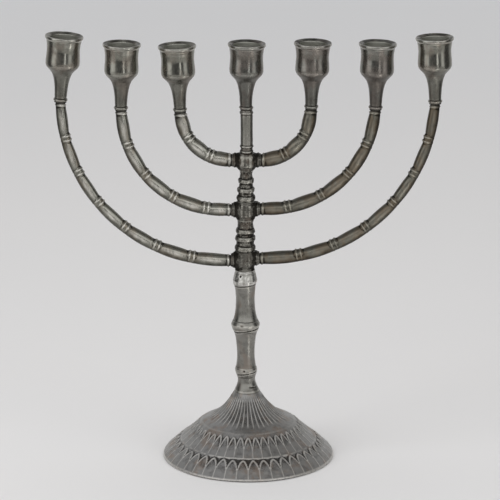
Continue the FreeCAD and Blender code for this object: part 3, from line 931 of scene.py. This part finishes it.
# ------------------------------------------------------------------------------------------------ column
@dataclass
class Spacer(Casting):
    """A ringed column piece: beads from the bottom up, then a neck that flares to the next hub."""

    patina: PatinaRule = PatinaRule(30, -0.02, 0.11, 0.03, 0.16)
    base_r: float = 8.0
    top_r: float = 7.2
    beads: tuple = ()
    neck: float = 1.5
    bead_half: float = 2.1
    groove: float = 1.3
    columns: int = 128

    def build(self) -> bpy.types.Object:
        """Make the spacer's mesh and dress it.

        Returns:
            The spacer's piece.
        """
        base, top = self.heights()
        outline = Outline(self.base_r, base, step=0.3)
        for rise, crest_r in self.beads:
            outline.bead(crest_r, base + rise, self.bead_half, crest_r - self.groove)
        last_rise, last_r = self.beads[-1]
        neck_z = base + (last_rise + self.bead_half + top - base) / 2
        neck_r = last_r - self.neck
        outline.line(neck_r, neck_z)
        outline.curve([(neck_r + 0.25 * (self.top_r - neck_r), (neck_z + top) / 2), (self.top_r, top)])
        grid, _ = turned_grid(outline.array(), self.columns)
        grid = self.uneven(grid)
        # Painted shade on the left and right flanks, with random patina mottling.
        shade = 0.40 * soft_step(np.abs(grid[:, :, 0]), 3.0, 6.6) + 0.25 * lumps(grid, 2.2, self.seed + 6)
        return self.dress(skin(self.piece_name, grid), with_ends(shade), self.seam_quiet(grid))


@dataclass
class CentreShaft(Casting):
    """The plain shaft over the top hub: a double ring below, one ring under the cup."""

    patina: PatinaRule = PatinaRule(26, 0.0, 0.06, 0.015, 0.10)
    seat_r: float = 5.3
    shaft_r: float = 4.85
    ring_r: float = 5.45
    ring_half: float = 1.0
    ring_gap: float = 4.2
    spigot_length: float = 5.5
    columns: int = 96

    def build(self) -> bpy.types.Object:
        """Make the shaft's mesh and dress it.

        Returns:
            The shaft's piece.
        """
        base, top = self.heights()
        top -= self.spigot_length
        outline = Outline(self.seat_r, base, step=0.28)
        for rise in (1.3, 1.3 + self.ring_gap):
            outline.bead(self.ring_r, base + rise, self.ring_half, self.shaft_r - 0.1)
        outline.curve([(self.shaft_r, base + 9.0), (self.shaft_r - 0.05, base + 18.0),
                       (self.shaft_r, top - 4.6)])
        outline.bead(self.ring_r, top - self.ring_gap / 2, self.ring_half, self.shaft_r - 0.1)
        outline.line(self.shaft_r - 0.15, top)
        grid, _ = turned_grid(outline.array(), self.columns)
        grid = self.uneven(grid)
        # Painted shade on the left and right flanks.
        shade = 0.42 * soft_step(np.abs(grid[:, :, 0]), 2.4, 4.6)
        return self.dress(skin(self.piece_name, grid), with_ends(shade), self.seam_quiet(grid))


def soft_union(a: np.ndarray, b: np.ndarray, fillet: float) -> np.ndarray:
    """Join two distance fields with a rounded inside corner."""
    share = np.clip(0.5 + 0.5 * (b - a) / fillet, 0, 1)
    return b + (a - b) * share - fillet * share * (1 - share)


@dataclass
class Hub(Casting):
    """A cross piece of the column with a socket each way, grown together with webs like a cast knot."""

    patina: PatinaRule = PatinaRule(40, 0.02, 0.34, 0.05, 0.34)
    base_r: float = 7.9
    top_r: float = 8.0
    waist_r: float = 6.3
    reach: float = 11.4
    arm_r: float = 5.45
    ring_r: float = 6.1
    ring_offset: float = 2.1
    plate_half: float = 4.6
    plate_depth: float = 7.4
    rounding: float = 1.9
    stripe: float = 3.1
    web: float = 4.2
    voxel: float = 0.26
    arm_heights: tuple = (0.0, 0.0)

    def arm_field(self, p: np.ndarray, side: Side, axis_z: float) -> np.ndarray:
        """Distance to one arm socket's outside.

        Args:
            p: places, mm.
            side: which arm.
            axis_z: its height.

        Returns:
            Distance for each place.
        """
        out = side.value * p[:, 0]
        ring = hump(out - self.reach + self.ring_offset, 0.8)
        radius = self.arm_r - 0.12 + (self.ring_r - self.arm_r) * ring
        tube = np.hypot(p[:, 1], p[:, 2] - axis_z) - radius
        return np.maximum(tube, -out - 1.0)

    def field(self, p: np.ndarray) -> np.ndarray:
        """Distance to the hub's outside.

        Args:
            p: places, mm.

        Returns:
            Distance for each place, below 0 inside.
        """
        base, top = self.heights()
        middle, half = (base + top) / 2, (top - base) / 2
        bend = ((p[:, 2] - middle) / half) ** 2
        rim = np.where(p[:, 2] > middle, self.top_r, self.base_r)
        column = np.hypot(p[:, 0], p[:, 1]) - (self.waist_r + (rim - self.waist_r) * bend)
        axis_z = sum(self.arm_heights) / 2
        depth = self.plate_depth + 0.22 * np.cos(p[:, 0] * 2 * math.pi / self.stripe)
        box = np.stack([np.abs(p[:, 0]) - self.plate_half, np.abs(p[:, 1]) - depth,
                        np.abs(p[:, 2] - axis_z) - 5.2], axis=1) + self.rounding
        plate = np.linalg.norm(np.maximum(box, 0), axis=1) + np.minimum(box.max(1), 0) - self.rounding
        body = soft_union(column, plate, 2.0)
        arms = np.minimum(self.arm_field(p, Side.LEFT, self.arm_heights[0]),
                          self.arm_field(p, Side.RIGHT, self.arm_heights[1]))
        whole = soft_union(body, arms, self.web)
        slab = np.maximum(p[:, 2] - top, base - p[:, 2])
        return np.maximum(np.maximum(whole, slab), np.abs(p[:, 0]) - self.reach)

    def blank(self) -> bpy.types.Mesh:
        """A rough closed body a little larger than the hub, remeshed evenly.

        Returns:
            The mesh, in metres.
        """
        base, top = self.heights()
        body = np.array([(self.base_r + 0.3, base - 0.2), (self.top_r + 0.3, top + 0.2)])
        upright, _ = turned_grid(np.vstack([body[0], body.mean(0), body[1]]), 48)
        arms = np.array([(6.3, -self.reach - 0.2), (6.3, 0.0), (6.3, self.reach + 0.2)])
        lying, _ = turned_grid(arms, 48)
        across = np.stack([lying[:, :, 2], lying[:, :, 1], -lying[:, :, 0]], axis=2)
        across[:, :, 2] += sum(self.arm_heights) / 2
        blocks = [skin("blank", upright), skin("blank", across)]
        with bpy.context.temp_override(active_object=blocks[0], selected_editable_objects=blocks):
            bpy.ops.object.join()
        remesh = blocks[0].modifiers.new("even", "REMESH")
        remesh.mode = "VOXEL"
        remesh.voxel_size = self.voxel * MM
        evaluated = blocks[0].evaluated_get(bpy.context.evaluated_depsgraph_get())
        shape = bpy.data.meshes.new_from_object(evaluated)
        bpy.data.objects.remove(blocks[0])
        return shape

    def settle(self, points: np.ndarray) -> np.ndarray:
        """Move points on to the hub's surface.

        Args:
            points: places near the surface, mm.

        Returns:
            The places moved down the field's slope until they lie on it.
        """
        tiny = 0.02
        for _ in range(7):
            here = self.field(points)
            slope = np.stack([(self.field(points + step) - self.field(points - step)) / (2 * tiny)
                              for step in np.eye(3) * tiny], axis=1)
            steep = np.maximum((slope ** 2).sum(1), 0.2)
            points = points - slope * np.clip(here / steep, -0.8, 0.8)[:, None]
        return points

    def build(self) -> bpy.types.Object:
        """Make the hub's mesh and dress it.

        Returns:
            The hub's piece.
        """
        mesh = self.blank()
        piece = smooth_object(self.piece_name, mesh)
        points = self.settle(mesh_points(mesh))
        set_mesh_points(mesh, points)
        normals = np.zeros(len(points) * 3)
        mesh.vertex_normals.foreach_get("vector", normals)
        push = lumps(points, 3.0, self.seed) * 0.30 + lumps(points, 1.3, self.seed + 3) * 0.12
        push *= soft_step(np.abs(points[:, 0]), self.reach, self.reach - 1.5)
        set_mesh_points(mesh, column_bow(points + normals.reshape(-1, 3) * push[:, None]))
        axis_z = sum(self.arm_heights) / 2
        out, uneven = np.abs(points[:, 0]), lumps(points, 2.0, self.seed + 8)
        # Painted shade: dark beside the front plate, under the arm roots and, less, above them.
        extra = 0.62 * hump(out - self.plate_half - 2.6, 2.0) * (1 + uneven)
        extra += 0.45 * soft_step(points[:, 2] - axis_z, -2.5, -5.2) * soft_step(out, 3.0, 7.0)
        extra += 0.30 * soft_step(points[:, 2] - axis_z, 3.2, 5.6) * soft_step(out, 3.0, 7.0)
        return self.dress(piece, extra)


# ------------------------------------------------------------------------------------------------ arms
@dataclass
class Arm(Casting):
    """A bamboo arm: a straight root, a round bend upwards, double rings at its nodes."""

    patina: PatinaRule = PatinaRule(22, -0.03, 0.14, 0.13, 0.36)
    side: Side = Side.LEFT
    cup: int = 1
    reach: float = 146.8
    run: float = 17.4
    pitch: float = 29.6
    hub_reach: float = 11.4
    radius: float = 4.85
    ring: float = 0.62
    ring_offset: float = 2.1
    ring_width: float = 0.70
    node_offset: float = 1.8
    node_width: float = 0.62
    node_fill: float = 0.26
    collar: float = 0.70
    first_node: float = 12.0
    columns: int = 72
    step: float = 0.42
    blend_length: float = 9.0
    belly: float = 0.22
    barrel: float = 0.30
    # How dark the painted shade on the arm's outer underside is.
    shade: float = 0.50
    soot_and_shade_share: float = 0.8
    root_extra: float = 0.35
    keel: float = 0.45
    groove_clean: float = 0.45
    # Strength of the painted highlights, and where round the arm they sit.
    streak: float = 1.0
    highlight_side: float = 0.12

    def __post_init__(self) -> None:
        """Read the root's and the tip's places from the frame, and lay out the bend."""
        corners = mesh_points(frame["nodes"][self.node].data)
        inner = corners[:, 0] * self.side.value
        self.root_z = float(corners[inner < inner.min() + 0.05][:, 2].mean())
        self.tip, self.cup_axis = cup_joint(self.cup)
        rise = self.tip[2] - self.root_z
        self.bend_r = self.reach - self.run
        climb = min(rise, self.bend_r)
        self.turn = math.acos(1 - climb / self.bend_r)
        self.tail = rise - climb
        self.root_length = self.run - self.hub_reach
        self.length = self.root_length + self.bend_r * self.turn + self.tail

    def centreline(self, distance: np.ndarray) -> tuple[np.ndarray, np.ndarray]:
        """The arm's middle line.

        Args:
            distance: distances from the hub along it, mm.

        Returns:
            Its points and its directions there.
        """
        angle = np.clip((distance - self.root_length) / self.bend_r, 0, self.turn)
        straight = np.minimum(distance, self.root_length)
        past = np.maximum(distance - self.root_length - self.bend_r * self.turn, 0)
        x = self.hub_reach + straight + self.bend_r * np.sin(angle) + past * np.cos(angle)
        z = self.root_z + self.bend_r * (1 - np.cos(angle)) + past * np.sin(angle)
        nil = np.zeros_like(x)
        points = np.stack([self.side.value * x, nil, z], axis=1)
        directions = np.stack([self.side.value * np.cos(angle), nil, np.sin(angle)], axis=1)
        lean = soft_step(distance, self.length - self.blend_length, self.length)[:, None]
        directions = directions * (1 - lean) + self.cup_axis * lean
        return points, directions / np.linalg.norm(directions, axis=1, keepdims=True)

    def nodes(self) -> list[float]:
        """Distances from the hub of the nodes, counted back from the cup."""
        count = int((self.length - self.first_node) / self.pitch)
        return [self.length - self.pitch * (i + 1) for i in range(count)]

    def swell(self, distance: np.ndarray, inward: np.ndarray,
              uneven: np.ndarray) -> tuple[np.ndarray, np.ndarray, np.ndarray]:
        """Rings, collars and bamboo bellies over the plain tube.

        Args:
            distance: distance from the hub of each point.
            inward: 1 on the side of the bend's middle, -1 on the outer side.
            uneven: about -1 to 1 for hand-cut variation.

        Returns:
            Height over the tube, patina and painted shade, and rub with painted highlights, at each point.
        """
        facing = 0.32 + 0.68 * soft_step(inward, -0.9, 0.55)
        height = np.zeros_like(distance)
        soot_and_shade = np.zeros_like(distance)
        painted_highlight = np.zeros_like(distance)
        places = self.nodes()
        for place in places:
            away = distance - place
            rings = hump(np.abs(away) - self.node_offset, self.node_width)
            collar = soft_step(np.abs(away), 4.6, 1.8) * soft_step(inward, -0.2, 0.9)
            height += (self.ring * (1 + 0.25 * uneven)) * rings * facing + self.collar * collar
            height += self.node_fill * hump(away, 1.0) * facing
            height -= 0.12 * hump(np.abs(away) - 4.3, 0.9) * soft_step(inward, -0.5, 0.6)
            soot_and_shade -= self.groove_clean * hump(away, 1.1) * facing
            soot_and_shade += 0.16 * hump(np.abs(away) - 3.1, 0.5) * facing * (1 + uneven)
            # Painted highlight dots on the rings, towards the inner side.
            painted_highlight += 0.7 * self.streak * rings * hump(inward - self.highlight_side, 0.34)
            soot_and_shade += 0.14 * hump(np.abs(away) - 4.2, 0.9) * soft_step(inward, -0.3, 0.8)
        for end in (self.ring_offset, self.length - self.ring_offset):
            height += self.ring * (1 + 0.2 * uneven) * hump(distance - end, self.ring_width)
        for joint in (0.0, self.length):
            soot_and_shade += 1.0 * hump(distance - joint, 1.0)
            soot_and_shade += 0.30 * hump(np.abs(distance - joint) - 4.0, 0.8)
        root = soft_step(distance, 0.8 * self.length, 0.1 * self.length)
        height += self.keel * root * soft_step(inward, 0.3, -0.9)
        # Painted shade: darker on the outer underside and in a thin line along the inner edge.
        soot_and_shade += self.shade * soft_step(inward + 0.2 * uneven, 0.20, -0.75)
        soot_and_shade += 0.30 * soft_step(inward, 0.72, 1.0)
        bounds = sorted([0.0, *places, self.length])
        for low, high in zip(bounds, bounds[1:]):
            share = np.clip((distance - low) / (high - low), 0, 1)
            belly = self.belly + (high - low) ** 2 / (8 * self.bend_r)
            height += belly * 4 * share * (1 - share) * soft_step(inward, -0.4, 0.9)
            height += self.barrel * (4 * share * (1 - share) - 0.6)
            # Painted highlight streak along the middle of each segment.
            streak = hump(inward - self.highlight_side + 0.12 * uneven, 0.32)
            painted_highlight += self.streak * (4 * share * (1 - share)) ** 1.5 * streak
        return height, np.clip(soot_and_shade, -1, 1), painted_highlight

    def build(self) -> bpy.types.Object:
        """Make the arm's mesh and dress it.

        Returns:
            The arm's piece.
        """
        rows = int(self.length / self.step)
        distance = np.linspace(0, self.length, rows)
        points, directions = self.centreline(distance)
        inner = np.cross(directions, FRONT) * self.side.value * -1
        angle = np.arange(self.columns) * 2 * math.pi / self.columns
        if self.side is Side.LEFT:
            angle = -angle
        inward = np.broadcast_to(np.cos(angle)[None, :], (rows, self.columns))
        around = (inner[:, None, :] * np.cos(angle)[None, :, None] + FRONT * np.sin(angle)[None, :, None])
        radius = self.radius + self.root_extra * soft_step(distance, 0.75 * self.length, 0.1 * self.length)
        plain = points[:, None, :] + around * radius[:, None, None]
        uneven = lumps(plain, 4.5, self.seed + 3)
        height, soot_and_shade, painted_highlight = self.swell(np.broadcast_to(distance[:, None], inward.shape), inward, uneven)
        push = lumps(plain, self.wobble_size, self.seed) * self.wobble
        push += 0.4 * self.wobble * lumps(plain, 2.2, self.seed + 5)
        grid = plain + around * (height + push)[:, :, None]
        piece = skin(self.piece_name, grid)
        return self.dress(piece, with_ends(soot_and_shade * self.soot_and_shade_share), painted_highlight=with_ends(painted_highlight))


# ------------------------------------------------------------------------------------------------ cups
CUP_LENGTH = 54.0
BORE_DEPTH = 18.6
MOUTH_DISH = 1.2


def cup_joint(number: int) -> tuple[np.ndarray, np.ndarray]:
    """Where a cup stands on its arm or shaft.

    Args:
        number: the cup, counted from the left.

    Returns:
        Its joint, mm, and the direction of its axis.
    """
    mount = next(m for m in frame["record"]["mounts"] if m["name"] == f"candle_bore_{number}")
    axis = np.array(mount["axis"], float)
    middle = np.array(mount["pos_m"], float) / MM
    return middle - axis * (CUP_LENGTH - MOUTH_DISH - BORE_DEPTH / 2), axis


@dataclass
class CandleCup(Casting):
    """A candle cup: trumpet neck, rounded shoulder, waisted barrel, flared lip and a bore."""

    patina: PatinaRule = PatinaRule(16, 0.015, 0.12, 0.045, 0.26)
    number: int = 1
    bore_r: float = 11.1
    rim_r: float = 15.05
    waist_r: float = 13.05
    bulge_r: float = 13.55
    neck_r: float = 5.0
    ring_r: float = 5.65
    ring_offset: float = 2.1
    columns: int = 128

    def section(self) -> np.ndarray:
        """Draw the cup's section from the joint up the outside, over the lip and down the bore.

        Returns:
            Rows of radius and height.
        """
        outline = Outline(4.85, 0.0, step=0.36)
        outline.bead(self.ring_r, self.ring_offset, 1.0, 4.85)
        outline.line(4.8, 3.6)
        outline.curve([(self.neck_r, 7.6), (5.3, 11.9), (5.85, 16.1), (6.6, 19.6), (7.4, 22.0), (8.35, 24.1)])
        outline.curve([(9.9, 26.0), (11.5, 27.7), (12.75, 29.3), (13.4, 31.1), (self.bulge_r, 33.0)])
        outline.curve([(13.45, 35.2), (self.waist_r, 41.5), (13.2, 45.6), (13.65, 48.9), (13.75, 49.6)])
        outline.curve([(13.85, 50.2), (14.15, 50.9), (14.75, 51.6), (self.rim_r, 52.5), (self.rim_r, 53.3),
                       (14.7, 53.9), (14.2, 54.0), (13.6, 53.85)])
        outline.curve([(12.6, 53.45), (11.6, 53.0), (self.bore_r + 0.05, 52.4), (self.bore_r, 51.6)])
        outline.line(self.bore_r, 35.0)
        outline.curve([(self.bore_r - 0.3, 34.4), (self.bore_r - 1.0, 34.2)])
        outline.line(0.4, 34.2)
        return outline.array()

    def build(self) -> bpy.types.Object:
        """Make the cup's mesh, stand it on its joint and dress it.

        Returns:
            The cup's piece.
        """
        joint, axis = cup_joint(self.number)
        grid, angle = turned_grid(self.section(), self.columns)
        oval = 0.10 * np.cos(2 * angle + self.seed) * soft_step(grid[:, :, 2], 20, 50)
        grid = self.uneven(grid)
        grid[:, :, :2] *= (1 + oval / 14)[:, :, None]
        side = np.cross(FRONT, axis) * -1
        turned = grid[:, :, 0, None] * side + grid[:, :, 1, None] * -FRONT + grid[:, :, 2, None] * axis
        piece = skin(self.piece_name, turned + joint)
        r, z = np.hypot(grid[:, :, 0], grid[:, :, 1]), grid[:, :, 2]
        uneven = lumps(grid, 5.0, self.seed + 2)
        # Darker over the cone and neck below the barrel, and at the joint.
        extra = 0.36 * soft_step(z + 2 * uneven, 33.5, 28.0) * soft_step(z, 0.0, 6.0) + 0.8 * hump(z, 1.0)
        extra += 0.14 * hump(z - 49.9, 0.8) + 0.20 * hump(z - 33.0, 1.2) * (0.6 + uneven)
        # Darker over the dish of the mouth.
        mouth = (z > 52.2) & (r < self.rim_r - 0.4)
        extra[mouth] = 0.40 + 0.3 * uneven[mouth]
        bore = (r < self.bore_r + 0.4) & (z > 34.0) & (z < 52.6)
        extra[bore] = -1.0
        bare = piece.data.attributes.new("bare", "FLOAT", "POINT")
        bare.data.foreach_set("value", with_ends(bore, 1.0).astype(np.float32))
        return self.dress(piece, with_ends(extra, -1.0))


# ------------------------------------------------------------------------------------------------ hardware
@dataclass
class TieRodSet:
    """The steel rod, washer and nut inside, which keep their own frame shapes."""

    nodes: tuple = ("tie_rod", "foot_washer", "foot_nut")
    finish: BrushedSteel = field(default_factory=BrushedSteel)

    def dress(self) -> None:
        """Give the frame's own pieces their steel finish."""
        for name in self.nodes:
            node = frame["nodes"][name]
            node.data.materials.clear()
            node.data.materials.append(finish_material(self.finish))
            log.info("%s keeps its frame shape", name)


# ------------------------------------------------------------------------------------------------ studio
@dataclass
class Studio:
    """Pale paper, a soft room of light round it and the camera."""

    paper_r: float = 620.0
    sweep_r: float = 5200.0
    wall_height: float = 3200.0
    distance: float = 2520.0
    camera_height: float = 892.4
    pitch: float = 15.935
    aside: float = 3.35
    lens: float = 235.3
    # Name, degrees to the right of the front, height, distance and side in mm, and watts.
    softboxes: tuple = (("softbox_left", -60.0, 900.0, 1300.0, 900.0, 6.9),
                        ("softbox_right", 52.0, 900.0, 1300.0, 900.0, 4.0),
                        ("softbox_top", 180.0, 1900.0, 500.0, 1500.0, 9.8))
    reflector_edges: tuple = (-75, -45, -15, 15, 45, 75)
    reflector_r: float = 690.0
    reflector_height: float = 165.0
    reflector_glow: float = 0.5
    # Brightness round the horizon: degrees to the right of the front, and level.
    bands: tuple = ((-180, 0.62), (-128, 0.55), (-104, 0.10), (-80, 0.08), (-74, 0.95), (-60, 1.15),
                    (-46, 0.95), (-38, 0.14), (0, 0.075), (12.5, 0.075), (14.5, 2.2), (19, 2.2),
                    (21, 0.09), (38, 0.10), (43, 0.85), (52, 0.95), (60, 0.85), (68, 0.12),
                    (100, 0.09), (128, 0.52), (179.9, 0.62))

    def room(self) -> None:
        """Light the room: bands of brightness round the horizon, fading to an even ceiling."""
        world = bpy.data.worlds.new("soft_room")
        bpy.context.scene.world = world
        bench = ShaderBench(world)
        toward = bench.node("ShaderNodeTexCoord", {}).outputs["Generated"]
        parts = bench.node("ShaderNodeSeparateXYZ", {"Vector": toward})
        behind = bench.calc("MULTIPLY", parts.outputs["Y"], -1.0)
        heading = bench.calc("ARCTAN2", parts.outputs["X"], behind)
        share = bench.calc("ADD", bench.calc("DIVIDE", heading, 2 * math.pi), 0.5)
        ring = bench.node("ShaderNodeValToRGB", {"Fac": share})
        stops = ring.color_ramp.elements
        while len(stops) > 1:
            stops.remove(stops[-1])
        for i, (degrees, level) in enumerate(self.bands):
            stop = stops[0] if i == 0 else stops.new(degrees / 360 + 0.5)
            stop.position = degrees / 360 + 0.5
            stop.color = colour(level, level, level)
        overhead = bench.ramp(parts.outputs["Z"], 0.42, 0.60)
        bar = bench.calc("MULTIPLY", bench.ramp(parts.outputs["Z"], -0.05, 0.18),
                         bench.ramp(behind, 0.1, 0.5))
        walls = bench.blend(bar, ring.outputs["Color"], colour(1.25, 1.25, 1.25))
        above = bench.blend(bench.ramp(parts.outputs["X"], -0.5, 0.5), colour(0.48, 0.48, 0.49),
                            colour(0.34, 0.335, 0.33))
        ceiling = bench.blend(overhead, walls, above)
        back = bench.tree.nodes["Background"]
        bench.put(back.inputs["Color"], ceiling)
        back.inputs["Strength"].default_value = 1.0

    def softbox(self, name: str, heading: float, height: float, away: float, size: float,
                power: float) -> None:
        """Hang one soft light.

        Args:
            name: its name.
            heading: degrees round from the camera, to the right.
            height: its height, mm.
            away: its distance from the column, mm.
            size: its side, mm.
            power: watts.
        """
        data = bpy.data.lights.new(name, "AREA")
        data.size = size * MM
        data.energy = power
        lamp = bpy.data.objects.new(name, data)
        bpy.context.scene.collection.objects.link(lamp)
        turn = math.radians(heading)
        lamp.location = Vector((away * math.sin(turn), -away * math.cos(turn), height)) * MM
        aim = Vector((0, 0, 0.16)) - lamp.location
        lamp.rotation_euler = aim.to_track_quat("-Z", "Y").to_euler()
        lamp.visible_camera = False
        lamp.visible_glossy = False

    def paper(self) -> None:
        """Lay the paper under the foot, and a sweep of it out to a curved wall."""
        disc = Outline(0.0, 0.0, step=60.0).line(self.paper_r, 0.0)
        sweep = Outline(self.paper_r, 0.0, step=160.0).line(self.sweep_r - 900, 0.0)
        sweep.curve([(self.sweep_r - 350, 180.0), (self.sweep_r, 1000.0)])
        sweep.line(self.sweep_r, self.wall_height)
        for name, outline in (("paper", disc), ("paper_sweep", sweep)):
            grid, _ = turned_grid(outline.array(), 96)
            rows, columns, _ = grid.shape
            index = np.arange(rows * columns).reshape(rows, columns)
            beyond = np.roll(index, -1, axis=1)
            faces = np.stack([index[1:], beyond[1:], beyond[:-1], index[:-1]], axis=-1).reshape(-1, 4)
            mesh = bpy.data.meshes.new(name)
            mesh.from_pydata((grid.reshape(-1, 3) * MM).tolist(), [], faces.tolist())
            sheet = smooth_object(name, mesh)
            mesh.materials.append(finish_material(Paper()))
        sheet.visible_glossy = False
        sheet.visible_shadow = False
        sheet.visible_diffuse = False

    def card(self, name: str, rim: list, glow: float) -> None:
        """Set up one reflector, seen only in the metal.

        Args:
            name: its name.
            rim: its outline as (distance from the axis, degrees to the right of the front, height), mm.
            glow: its brightness.
        """
        corners = [(r * math.sin(math.radians(a)) * MM, -r * math.cos(math.radians(a)) * MM, z * MM)
                   for r, a, z in rim]
        mesh = bpy.data.meshes.new(name)
        mesh.from_pydata(corners, [], [tuple(range(len(corners)))])
        card = smooth_object(name, mesh)
        bench = ShaderBench(bpy.data.materials.new(name))
        bench.surface.inputs["Base Color"].default_value = colour(0.0, 0.0, 0.0)
        bench.surface.inputs["Emission Color"].default_value = colour(1.0, 0.985, 0.96)
        bench.surface.inputs["Emission Strength"].default_value = glow
        mesh.materials.append(bench.owner)
        card.visible_camera = False
        card.visible_diffuse = False
        card.visible_shadow = False

    def cards(self) -> None:
        """Lay a narrow bright reflector on the paper and stand a low wide one in front."""
        strip = [(110, 35.5, 0.6), (600, 35.5, 0.6), (600, 42.5, 0.6), (110, 42.5, 0.6)]
        self.card("narrow_reflector", strip, 3.2)
        r, top = self.reflector_r, self.reflector_height
        for left, right in zip(self.reflector_edges, self.reflector_edges[1:]):
            self.card("low_reflector", [(r, left, 0), (r, right, 0), (r, right, top), (r, left, top)],
                      self.reflector_glow)

    def camera(self) -> None:
        """Set the camera in front, above the cups, looking down."""
        data = bpy.data.cameras.new("camera")
        data.sensor_width = 36.0
        data.lens = self.lens
        view = bpy.data.objects.new("camera", data)
        bpy.context.scene.collection.objects.link(view)
        view.location = Vector((self.aside, -self.distance, self.camera_height)) * MM
        view.rotation_euler = (math.radians(90 - self.pitch), 0.0, 0.0)
        bpy.context.scene.camera = view

    def build(self) -> None:
        """Set up room, paper, lights and camera."""
        bpy.context.scene.view_settings.view_transform = "Standard"
        self.room()
        self.paper()
        self.cards()
        for lamp in self.softboxes:
            self.softbox(*lamp)
        self.camera()


# ------------------------------------------------------------------------------------------------ assembly
LEFT_ARM = {"finish": ARM_PEWTER, "slot": Slot.ARM, "side": Side.LEFT}
# The right-hand arms keep more patina in the node grooves and get weaker painted highlights.
RIGHT_ARM = {"finish": DARK_ARM_PEWTER, "slot": Slot.ARM, "side": Side.RIGHT,
             "groove_clean": 0.1, "streak": 0.45}
ARMS = (
    Arm("arm_outer_left", seed=11, cup=1, reach=146.8, run=17.4, pitch=29.6, keel=0.9, **LEFT_ARM),
    Arm("arm_middle_left", seed=12, cup=2, reach=98.9, run=18.8, pitch=28.6, **LEFT_ARM),
    Arm("arm_inner_left", seed=13, cup=3, reach=52.0, run=13.6, pitch=22.5, **LEFT_ARM),
    Arm("arm_inner_right", seed=14, cup=5, reach=51.8, run=13.2, pitch=22.5, **RIGHT_ARM),
    Arm("arm_middle_right", seed=15, cup=6, reach=102.8, run=18.8, pitch=28.6, **RIGHT_ARM),
    Arm("arm_outer_right", seed=16, cup=7, reach=150.1, run=18.0, pitch=29.6, keel=0.9, **RIGHT_ARM),
)


def hub_between(node: str, left: Arm, right: Arm, seed: int, base_r: float, top_r: float) -> Hub:
    """A hub whose sockets stand at the heights of its two arms."""
    return Hub(node, COLUMN_PEWTER, Slot.COLUMN, seed, base_r=base_r, top_r=top_r,
               arm_heights=(left.root_z, right.root_z))


def main() -> None:
    """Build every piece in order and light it."""
    logging.basicConfig(level=logging.INFO, format="%(message)s")
    castings = [
        Foot("foot", FOOT_PEWTER, Slot.FOOT, 1),
        Stem("stem", STEM_PEWTER, Slot.FOOT, 2, wobble=0.10, wobble_size=9.0),
        Ferrule("stem_ferrule", FERRULE_PEWTER, Slot.COLUMN, 3, wobble=0.12, wobble_size=4.0),
        hub_between("lower_hub", ARMS[0], ARMS[5], 4, 7.9, 8.0),
        Spacer("lower_spacer", COLUMN_PEWTER, Slot.COLUMN, 5, 0.34, 3.2, base_r=8.0, top_r=7.2,
               beads=((3.0, 8.5), (11.0, 8.25), (17.2, 7.7))),
        hub_between("middle_hub", ARMS[1], ARMS[4], 6, 7.2, 7.2),
        Spacer("upper_spacer", COLUMN_PEWTER, Slot.COLUMN, 7, 0.34, 3.2, base_r=7.2, top_r=6.2,
               beads=((3.4, 7.6), (10.0, 7.0), (17.6, 6.4))),
        hub_between("upper_hub", ARMS[2], ARMS[3], 8, 6.2, 5.3),
        CentreShaft("centre_shaft", SHAFT_PEWTER, Slot.COLUMN, 9),
        *ARMS,
        *(CandleCup(f"cup_{i}", DARK_CUP_PEWTER if i in (4, 5, 6) else CUP_PEWTER, Slot.CUP, 20 + i, number=i)
          for i in range(1, 8)),
    ]
    for casting in castings:
        piece = casting.build()
        log.info("%s stands for %s: %d points", piece.name, casting.node, len(piece.data.vertices))
    TieRodSet().dress()
    Studio().build()


if __name__ == "__main__":
    main()
